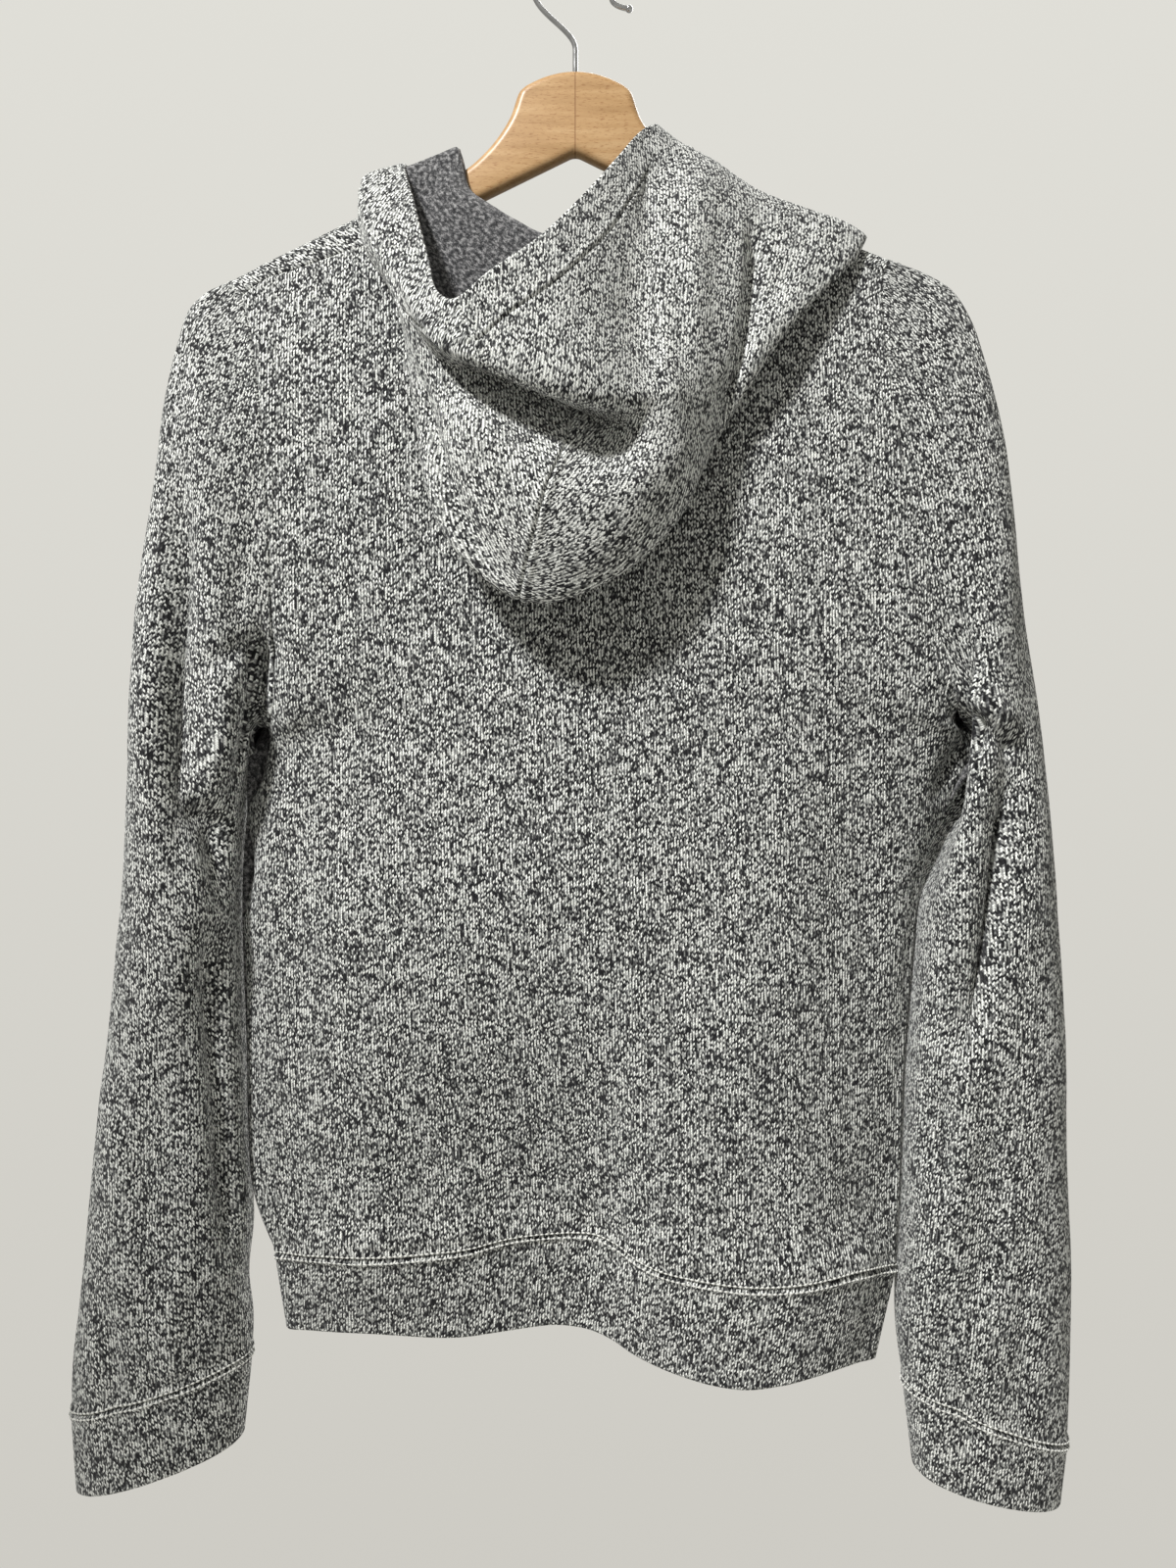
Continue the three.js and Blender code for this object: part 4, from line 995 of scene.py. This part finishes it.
def stitch_row(name, surface, edge, thick):
    """Short threads in a row, a fixed distance from the top or bottom edge of a piece."""
    middle = surface["middle"]
    away = from_border(middle, surface["closed"])[edge]
    columns = np.arange(away.shape[1])
    before = away < STITCH_AWAY if edge == "top" else away > STITCH_AWAY
    above = before.sum(axis=0) - 1
    step = away[above, columns] - away[above + 1, columns]
    share = ((away[above, columns] - STITCH_AWAY) / step)[:, None]

    def on_line(values):
        return mix(values[above, columns], values[above + 1, columns], share)

    normals = on_line(surface["normals"])
    path = on_line(middle) + normals * (thick / 2 + float(lips(STITCH_AWAY)) + STITCH_UP)
    arc = np.concatenate([[0.0], np.cumsum(lengths(path, 0))])
    at = np.arange(STITCH_PITCH, arc[-1] - 1, STITCH_PITCH)

    def sampled(values):
        return np.stack([np.interp(at, arc, values[:, k]) for k in range(3)], axis=1)

    heading = units(sampled(np.gradient(path, axis=0)))
    up = units(sampled(normals))
    sizes = zip((heading, np.cross(up, heading), up), STITCH_SIZE)
    ways = [sign * way * size / 2 for way, size in sizes for sign in (1, -1)]
    vertices = (sampled(path)[:, None] + np.stack(ways, axis=1)).reshape(-1, 3)
    eight = np.array([
        (0, 2, 4), (2, 1, 4), (1, 3, 4), (3, 0, 4), (2, 0, 5), (1, 2, 5), (3, 1, 5), (0, 3, 5),
    ])
    faces = (6 * np.arange(len(at))[:, None, None] + eight[None]).reshape(-1, 3)
    make_mesh(name, vertices, faces.tolist()).data.materials.append(thread)


# ---------------------------------------------------------------- materials
class Nodes:
    """A node tree and short ways to add to it."""

    def __init__(self, tree):
        self.tree = tree

    def feed(self, socket, value):
        if isinstance(value, bpy.types.NodeSocket):
            self.tree.links.new(value, socket)
        elif value is not None:
            socket.default_value = value

    def node(self, kind, *inputs, **settings):
        made = self.tree.nodes.new("ShaderNode" + kind)
        for name, value in settings.items():
            setattr(made, name, value)
        for socket, value in zip(made.inputs, inputs):
            self.feed(socket, value)
        return made

    def calc(self, operation, *inputs):
        return self.node("Math", *inputs, operation=operation).outputs[0]

    def multiply(self, one, two):
        return self.node("VectorMath", one, two, operation="MULTIPLY").outputs[0]

    def scaled(self, vector, sizes):
        """A coordinate that grows by 1 over each size, in metres."""
        return self.multiply(vector, [1 / size for size in sizes])

    def noise(self, vector, detail=2.0, roughness=0.5, scale=1.0):
        made = self.node("TexNoise", vector)
        made.inputs["Scale"].default_value = scale
        made.inputs["Detail"].default_value = detail
        made.inputs["Roughness"].default_value = roughness
        return made.outputs[0]

    def random(self, vector):
        return self.node("TexWhiteNoise", vector, noise_dimensions="3D").outputs["Value"]

    def ramp(self, value, stops):
        made = self.node("ValToRGB", value)
        band = made.color_ramp
        while len(band.elements) < len(stops):
            band.elements.new(0.5)
        for element, (place, colour) in zip(band.elements, stops):
            element.position = place
            element.color = (*colour, 1)
        return made.outputs["Color"]

    def shade(self, colour, factor):
        """A colour made lighter or darker by a number."""
        return self.node("VectorMath", colour, None, None, factor, operation="SCALE").outputs[0]


class Shader(Nodes):
    """One material: its nodes, and what they feed."""

    def __init__(self, name, **sockets):
        self.material = bpy.data.materials.new(name)
        self.material.use_nodes = True
        super().__init__(self.material.node_tree)
        self.surface = self.tree.nodes["Principled BSDF"]
        for socket, value in sockets.items():
            self.surface.inputs[socket.replace("_", " ")].default_value = value

    def spot(self):
        """A place on a hard piece, in metres."""
        return self.node("TexCoord").outputs["Object"]

    def cloth(self):
        """A place on the cloth's flat cut, in metres."""
        return self.node("UVMap", uv_map="knit").outputs[0]

    def bump(self, height, depth, strength):
        made = self.node("Bump")
        made.inputs["Strength"].default_value = strength
        made.inputs["Distance"].default_value = depth
        self.feed(made.inputs["Height"], height)
        self.feed(self.surface.inputs["Normal"], made.outputs[0])

    def colour(self, value):
        self.feed(self.surface.inputs["Base Color"], value)


# Sizes of the knit's pattern, in metres.
WALE = 1.66e-3  # from one column of loops to the next; each loop has two legs
COURSE = 1.35e-3
FLECK_WIDE = 12e-3
FLECK_HIGH = 2.1e-3


def knit_legs(shader):
    """The cloth's coordinate, each yarn leg's place, its height there and a painted shade that darkens
    every second leg, as though it faced away from the light.
    """
    uv = shader.cloth()
    split = shader.node("SeparateXYZ", shader.scaled(uv, (WALE / 2, COURSE, 1))).outputs
    leg = shader.calc("FLOOR", split[0])
    across = shader.calc("FRACT", split[0])
    wale = shader.calc("FLOOR", shader.calc("MULTIPLY", leg, 0.5))
    start = shader.random(shader.node("CombineXYZ", wale, 0.0, 3.0).outputs[0])
    second = shader.calc("MODULO", shader.calc("ABSOLUTE", leg), 2.0)
    lean = shader.calc("MULTIPLY_ADD", second, 1.1, -0.55)
    tilted = shader.calc("MULTIPLY_ADD", across, lean, split[1])
    along = shader.calc("MULTIPLY_ADD", start, 0.8, tilted)
    place = shader.node("CombineXYZ", leg, shader.calc("FLOOR", along), 0.0).outputs[0]
    both_legs = shader.calc("FRACT", shader.calc("MULTIPLY", split[0], 0.5))
    over = shader.calc("SINE", shader.calc("MULTIPLY", both_legs, math.pi))
    length = shader.calc("SINE", shader.calc("MULTIPLY", shader.calc("FRACT", along), math.pi))
    height = shader.calc("MULTIPLY", over, shader.calc("POWER", length, 0.4))
    # Painted shade: every second leg is darkened, as though lit from one side.
    second_leg_painted_shade = shader.calc("MULTIPLY_ADD", second, -0.45, 1.18)
    return uv, place, height, second_leg_painted_shade


def marl_knit(name, stops):
    """Light and charcoal yarns twisted together, so that flecks run along the courses."""
    shader = Shader(
        name, Roughness=0.93, Specular_IOR_Level=0.18, Sheen_Weight=0.15, Sheen_Roughness=0.6,
    )
    uv, place, height, second_leg_painted_shade = knit_legs(shader)
    flecks = shader.noise(
        shader.scaled(place, (2 * FLECK_WIDE / WALE, FLECK_HIGH / COURSE, 1)), 1.0, 0.5)
    own = shader.random(place)
    cloud = shader.noise(shader.scaled(uv, (22e-3, 9e-3, 1)), 1.0)
    mixed = shader.calc("MULTIPLY_ADD", own, 0.85, shader.calc("MULTIPLY", flecks, 0.5))
    mixed = shader.calc("MULTIPLY_ADD", cloud, 0.2, shader.calc("SUBTRACT", mixed, 0.275))
    yarn = shader.ramp(mixed, stops)
    fibre = shader.noise(shader.scaled(uv, (0.3e-3, 0.6e-3, 1)), 2.0, 0.7)
    # Painted shade: the colour darkens where the loops' height falls, between the wales and at each
    # loop's ends, and on every second leg; the fibre noise adds tone that differs at random.
    painted_shade_and_fibre = shader.calc("MULTIPLY", shader.calc("MULTIPLY_ADD", height, 1.05, 0.26), second_leg_painted_shade)
    painted_shade_and_fibre = shader.calc("MULTIPLY_ADD", fibre, 0.3, shader.calc("SUBTRACT", painted_shade_and_fibre, 0.15))
    shader.colour(shader.shade(yarn, painted_shade_and_fibre))
    shader.bump(shader.calc("MULTIPLY_ADD", fibre, 0.45, height), 0.45e-3, 0.75)
    return shader.material


def fleece(name):
    """The brushed inside of the cloth: a soft pile in which the marl shows as dim spots."""
    shader = Shader(
        name, Roughness=1.0, Specular_IOR_Level=0.1, Sheen_Weight=0.3, Sheen_Roughness=0.5,
    )
    uv = shader.cloth()
    spots = shader.noise(shader.scaled(uv, (2.0e-3, 3.2e-3, 1)), 3.0, 0.66)
    pile = shader.noise(shader.scaled(uv, (0.5e-3, 0.8e-3, 1)), 3.0, 0.75)
    mixed = shader.calc("MULTIPLY_ADD", pile, 0.25, spots)
    stops = [
        (0.42, (0.42, 0.415, 0.41)),
        (0.54, (0.25, 0.245, 0.245)),
        (0.62, (0.09, 0.09, 0.092)),
        (0.74, (0.02, 0.02, 0.022)),
    ]
    shader.colour(shader.ramp(mixed, stops))
    shader.bump(shader.calc("ADD", spots, pile), 0.8e-3, 0.7)
    return shader.material


def beech(name):
    """Pale planed beech: short dark flecks along the grain and a glue line in the middle."""
    shader = Shader(
        name, Roughness=0.42, Specular_IOR_Level=0.45, Coat_Weight=0.25, Coat_Roughness=0.3)
    spot = shader.spot()
    grain = shader.noise(shader.scaled(spot, (60e-3, 3e-3, 5e-3)), 4.0, 0.6)
    flecks = shader.noise(shader.scaled(spot, (3.4e-3, 0.7e-3, 0.55e-3)), 2.0, 0.6)
    wood = shader.ramp(grain, [
        (0.3, (0.45, 0.26, 0.108)),
        (0.5, (0.54, 0.325, 0.145)),
        (0.7, (0.62, 0.40, 0.195)),
    ])
    fleck = shader.ramp(flecks, [(0.56, (1, 1, 1)), (0.66, (0.72, 0.6, 0.5))])
    wood = shader.multiply(wood, fleck)
    beside = shader.calc("ABSOLUTE", shader.node("SeparateXYZ", spot).outputs[0])
    glue = shader.ramp(shader.calc("MULTIPLY", beside, 1000.0), [
        (0.1, (0.6, 0.5, 0.42)), (0.6, (1, 1, 1))])
    shader.colour(shader.multiply(wood, glue))
    shader.bump(flecks, 0.12e-3, 0.35)
    return shader.material


def cotton(name):
    """Cream sewing thread, twisted tight."""
    shader = Shader(name, Roughness=0.75, Specular_IOR_Level=0.3)
    twist = shader.noise(shader.scaled(shader.spot(), (0.5e-3,) * 3), 1.0)
    shader.colour(shader.ramp(twist, [(0.35, (0.86, 0.86, 0.81)), (0.65, (0.97, 0.97, 0.92))]))
    return shader.material


def steel(name):
    """Bright drawn wire, a little worn."""
    shader = Shader(name, Metallic=1.0)
    wear = shader.noise(shader.scaled(shader.spot(), (4e-3,) * 3), 3.0)
    shader.colour(shader.ramp(wear, [(0.3, (0.56, 0.56, 0.57)), (0.7, (0.66, 0.66, 0.66))]))
    shader.feed(
        shader.surface.inputs["Roughness"], shader.calc("MULTIPLY_ADD", wear, 0.16, 0.1))
    return shader.material


# ---------------------------------------------------------------- the cloth pieces
MARL = [
    (0.22, (0.005, 0.005, 0.007)),
    (0.38, (0.04, 0.04, 0.043)),
    (0.50, (0.22, 0.225, 0.22)),
    (0.62, (0.6, 0.61, 0.58)),
    (0.80, (0.98, 0.99, 0.94)),
]
HOOD_PAINTED_LIGHT = 0.08  # painted light: the hood's knit is a lighter copy of the body's, for the brighter light on its upward faces
knit = marl_knit("marl_knit", MARL)
# Painted light: a lighter copy of the knit for the hood, standing in for the light its upward faces
# catch.
hood_knit_painted_light = marl_knit("marl_hood_painted_light", [(place - HOOD_PAINTED_LIGHT, colour) for place, colour in MARL])
inside = fleece("fleece")
thread = cotton("thread")

back_grid = body_half(-1)
front_grid = body_half(1)
body = ["knit_body_back", "knit_body_front"]
WEAK = 0.45  # relief of a plain seam against one with stitches beside it


def seam_all_round(edges):
    weak = WEAK * lips(np.minimum.reduce([edges["top"], edges["left"], edges["right"]]))
    return weak + lips(edges["bottom"])


surface = fine_surface(back_grid, turned=True, column_seams=(0, back_grid.shape[1] - 1))
sewn_piece("body_back", surface, [knit, inside], ["hanger_plank"], seam_all_round)
stitch_row("stitches_hem_back", surface, "bottom", CLOTH)
surface = fine_surface(front_grid, spacing=MEDIUM, column_seams=(0, front_grid.shape[1] - 1))
sewn_piece("body_front", surface, [knit, inside], ["hanger_plank"], seam_all_round)
stitch_row("stitches_hem_front", surface, "bottom", CLOTH)


def sleeve_seams(edges):
    return WEAK * lips(edges["top"]) + lips(edges["bottom"])


def band_seam(edges):
    return lips(edges["top"])


for side in ("left", "right"):
    turned = side == "right"
    surface = fine_surface(sleeve_grid(side), closed=True, turned=turned)
    sewn_piece(f"sleeve_{side}", surface, [knit, inside], body, sleeve_seams)
    stitch_row(f"stitches_wrist_{side}", surface, "bottom", CLOTH)
    surface = fine_surface(cuff_grid(side), closed=True, turned=turned, spacing=SMALL)
    sewn_piece(
        f"cuff_{side}", surface, [knit], [f"knit_sleeve_{side}"], band_seam, thick=DOUBLE)
    stitch_row(f"stitches_cuff_{side}", surface, "top", DOUBLE)
surface = fine_surface(waistband_grid(back_grid, front_grid), closed=True, turned=True)
sewn_piece("waistband", surface, [knit], body, band_seam, thick=DOUBLE)
stitch_row("stitches_waistband", surface, "top", DOUBLE)


def hood_thickness(edges):
    """Half the hood's thickness: its hem is turned in and stitched down."""
    return mix(DOUBLE / 2, CLOTH / 2, smooth((edges["top"] - CASING + 1) / 2))


def hood_relief(edges):
    """The line that stitches the hem down, the lips beside it, and the seams all round."""
    beyond = edges["top"] - CASING
    line = bell(beyond, -1.1, 0, 0.8) + bell(beyond, 0.45, -2.6, 1.6) + bell(beyond, 0.55, 2.4, 1.5)
    sides = 0.9 * lips(np.minimum(edges["left"], edges["right"]))
    return line + sides + 0.6 * lips(edges["bottom"])


def in_hem(edges):
    """Where the hood's inside shows the turned-in hem, which is knit outwards."""
    return edges["top"] < CASING


hood = hood_grid(back_grid, front_grid)
centre = hood.shape[1] // 2
surface = fine_surface(
    hood, turned=True, spacing=SMALL, row_seams=(HOOD_STRETCHES[0],), lay_flat=flatten_halves,
    column_seams=(0, centre, hood.shape[1] - 1), ridge=0.6, wave=70,
    creases=HOOD_CREASES)
middle_line = surface["columns_at"][centre]
halves = {"left": slice(0, middle_line + 1), "right": slice(middle_line, None)}
for half, (side, columns) in enumerate(halves.items()):
    sewn_piece(
        f"hood_{side}", surface, [hood_knit_painted_light, inside], body, hood_relief, columns, half,
        thick=hood_thickness, knit_inside=in_hem, held="folded")


# ---------------------------------------------------------------- the hanger
def tube(name, path, radius, sides=20):
    """A round wire along a path in the hanger's plane, closed at both ends."""
    across = units(np.cross(units(np.gradient(path, axis=0)), [0, 1, 0]))
    turns = np.linspace(0, 2 * math.pi, sides, endpoint=False)
    ring = (
        across[:, None] * np.cos(turns)[None, :, None]
        + np.array([0, 1, 0]) * np.sin(turns)[None, :, None]
    )
    vertices = (path[:, None] + radius * ring).reshape(-1, 3)
    faces = []
    for k in range(len(path) - 1):
        for j in range(sides):
            a, b = k * sides + j, k * sides + (j + 1) % sides
            faces.append((a, a + sides, b + sides, b))
    faces.append(tuple(range(sides)))
    faces.append(tuple((len(path) - 1) * sides + j for j in range(sides))[::-1])
    return make_mesh(name, vertices, faces)


def bezier(points, count):
    """A curve from its first point to its last, drawn towards the two between."""
    a, b, c, d = (np.array(point, float) for point in points)
    t = np.linspace(0, 1, count)[:, None]
    return (1 - t) ** 3 * a + 3 * t * (1 - t) ** 2 * b + 3 * t**2 * (1 - t) * c + t**3 * d


def on_loop(degrees):
    """A place on the hook's round loop, from the photo's right anticlockwise."""
    angle = math.radians(degrees)
    z = WIRE_R - LOOP_R + LOOP_R * math.sin(angle)
    return np.array([LOOP_X + LOOP_R * math.cos(angle), 0, z])


LOOP_FROM, LOOP_TO = 205, -18  # degrees round the loop
SHANK = 14.0  # straight wire above the wood
TIP_SWELL = 1.45  # the wire's rounded tip against the wire


def hook_path():
    """The wire's middle line, from its bore in the wood to its tip."""
    shank_top = WOOD_TOP_Z + SHANK
    start, end = on_loop(LOOP_FROM), on_loop(LOOP_TO)
    ways = [
        np.array([[0, 0, WOOD_TOP_Z - BORE_DEPTH + 1], [0, 0, WOOD_TOP_Z]]),
        bezier([(0, 0, shank_top), (0, 0, shank_top + 10), start + [5, 0, -11], start], 14)[:-1],
        np.array([on_loop(degrees) for degrees in np.linspace(LOOP_FROM, LOOP_TO, 64)])[:-1],
        bezier([end, end + [-1.5, 0, -5], end + [3, 0, -7.5], end + [10, 0, -8.5]], 12),
    ]
    return np.concatenate(ways)


def hanger_outline():
    """The wooden body's outline as x and z, round from the top of its dome."""
    tip_x = HANGER_SPAN / 2
    tip_r = ARM_TIP_DROP / 2

    def arm_top(x):
        return ARM_ROOT_Z - (x - ARM_ROOT_X) * ARM_SLOPE

    def arm_low(x):
        return NOTCH_Z - x * ARM_LOW_SLOPE

    half = [
        (DOME_X, DOME_Z), (33, -89), (38, -103), (47, -117), (58, -128.5),
        (ARM_ROOT_X, ARM_ROOT_Z), (tip_x - tip_r, arm_top(tip_x - tip_r)),
        (tip_x - 2, arm_top(tip_x) - 3), (tip_x, arm_top(tip_x) - 9),
        (tip_x - 2, arm_low(tip_x) + 1), (tip_x - tip_r, arm_low(tip_x - tip_r)),
    ]
    shoulder = {"t": np.arange(6.0), "place": np.array(half[:6])}
    curved = [tuple(through(shoulder, "t", t, "place")) for t in np.linspace(0, 5, 31)]
    right = curved + half[6:]
    top = 2 * WOOD_TOP_Z - DOME_Z
    dome = []
    for t in np.linspace(0, 1, 25)[1:-1]:
        x = mix(mix(-DOME_X, 0, t), mix(0, DOME_X, t), t)
        dome.append((x, mix(mix(DOME_Z, top, t), mix(top, DOME_Z, t), t)))
    return dome + right + [(0, NOTCH_Z)] + [(-x, z) for x, z in reversed(right)]


def hanger_plank():
    """The wooden body: its outline drawn out to its thickness, with well rounded edges."""
    outline = hanger_outline()
    count = len(outline)
    half = HANGER_THICK / 2
    vertices = [(x, -half, z) for x, z in outline] + [(x, half, z) for x, z in outline]
    sides = [(k, (k + 1) % count, (k + 1) % count + count, k + count) for k in range(count)]
    faces = [tuple(range(count))[::-1], tuple(range(count, 2 * count)), *sides]
    plank = make_mesh("hanger_plank", vertices, faces)
    bevel = plank.modifiers.new("edges", "BEVEL")
    bevel.width = HANGER_EDGE * MM
    bevel.segments = 6
    bevel.limit_method = "ANGLE"
    bevel.angle_limit = math.radians(50)
    return plank


def ball(name, centre, radius, rings=16, sides=24):
    """A small round end, drawn as rings between two poles."""
    vertices = [centre + np.array([0, 0, radius])]
    for k in range(1, rings):
        tilt = math.pi * k / rings
        for j in range(sides):
            turn = 2 * math.pi * j / sides
            vertices.append(centre + radius * np.array([
                math.sin(tilt) * math.cos(turn), math.sin(tilt) * math.sin(turn), math.cos(tilt)]))
    vertices.append(centre - np.array([0, 0, radius]))
    faces = [(0, 1 + j, 1 + (j + 1) % sides) for j in range(sides)]
    for k in range(rings - 2):
        a = 1 + k * sides
        for j in range(sides):
            b = (j + 1) % sides
            faces.append((a + j, a + sides + j, a + sides + b, a + b))
    last = 1 + (rings - 2) * sides
    faces += [(last + j, len(vertices) - 1, last + (j + 1) % sides) for j in range(sides)]
    return make_mesh(name, vertices, faces)


def finish_hard(piece, material, node):
    piece.data.materials.append(material)
    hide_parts(node)


finish_hard(hanger_plank(), beech("beech"), "hanger_wood")
path = hook_path()
bright = steel("steel")
finish_hard(tube("hook_wire", path, WIRE_R), bright, "hanger_hook")
finish_hard(ball("hook_tip", path[-1], WIRE_R * TIP_SWELL), bright, "hanger_hook")


# ---------------------------------------------------------------- floor, light and camera
def plain(name, colour):
    """A matt colour with faint unevenness."""
    shader = Shader(name, Roughness=0.9, Specular_IOR_Level=0.1)
    uneven = shader.noise(shader.spot(), scale=40.0)
    darker = tuple(0.985 * part for part in colour)
    shader.colour(shader.ramp(uneven, [(0.3, colour), (0.7, darker)]))
    return shader.material


# The floor ends behind the garment, just below what the photo's view shows.
FLOOR_Z = -1250.0
FLOOR_HALF = 2200.0
FLOOR_NEAR, FLOOR_FAR = -3000.0, 480.0
corners = [(-1, FLOOR_NEAR), (1, FLOOR_NEAR), (1, FLOOR_FAR), (-1, FLOOR_FAR)]
floor_mesh = bpy.data.meshes.new("floor")
floor_mesh.from_pydata(
    [(side * FLOOR_HALF * MM, y * MM, FLOOR_Z * MM) for side, y in corners], [], [(0, 1, 2, 3)])
floor = bpy.data.objects.new("floor", floor_mesh)
floor.data.materials.append(plain("floor", (0.88, 0.875, 0.86)))
bpy.context.scene.collection.objects.link(floor)

# The wall is the world's own pale grey, lighter upwards. It lights the cloth at half strength.
world = bpy.data.worlds.new("studio")
world.use_nodes = True
sky = Nodes(world.node_tree)
background = world.node_tree.nodes["Background"].inputs
towards = sky.node("TexCoord").outputs["Generated"]
upwards = sky.node("SeparateXYZ", towards).outputs["Z"]
climb = sky.node("MapRange", upwards, -0.55, 0.55).outputs[0]
sky.feed(background["Color"], sky.ramp(climb, [(0, (0.61, 0.595, 0.55)), (1, (0.75, 0.74, 0.69))]))
seen = sky.node("LightPath").outputs["Is Camera Ray"]
sky.feed(background["Strength"], sky.node("MapRange", seen, 0.0, 1.0, 0.5, 1.0).outputs[0])
bpy.context.scene.world = world
bpy.context.scene.view_settings.view_transform = "Standard"


def light(name, kind, place, target, power):
    """A light at a place in metres, turned to its target."""
    lamp = bpy.data.lights.new(name, kind)
    lamp.energy = power
    made = bpy.data.objects.new(name, lamp)
    made.location = place
    made.rotation_mode = "QUATERNION"
    made.rotation_quaternion = (Vector(target) - Vector(place)).to_track_quat("-Z", "Y")
    bpy.context.scene.collection.objects.link(made)
    return lamp


key = light("key", "SPOT", (-2.07, -2.52, 2.8), (-0.05, 0, -0.33), 1180)
key.shadow_soft_size = 0.3
key.spot_size = math.radians(16)
key.spot_blend = 1.0
fill = light("fill", "AREA", (0.9, 2.3, 1.5), (0, 0, -0.6), 60)
fill.size = 1.6

camera = bpy.data.objects.new("camera", bpy.data.cameras.new("camera"))
camera.data.sensor_width = 36
camera.data.lens = 29.6
camera.location = (7.4 * MM, -750 * MM, -489.3 * MM)
camera.rotation_euler = (math.pi / 2, 0, 0)
camera.data.clip_start = 0.01
bpy.context.scene.collection.objects.link(camera)
bpy.context.scene.camera = camera

bpy.context.view_layer.update()
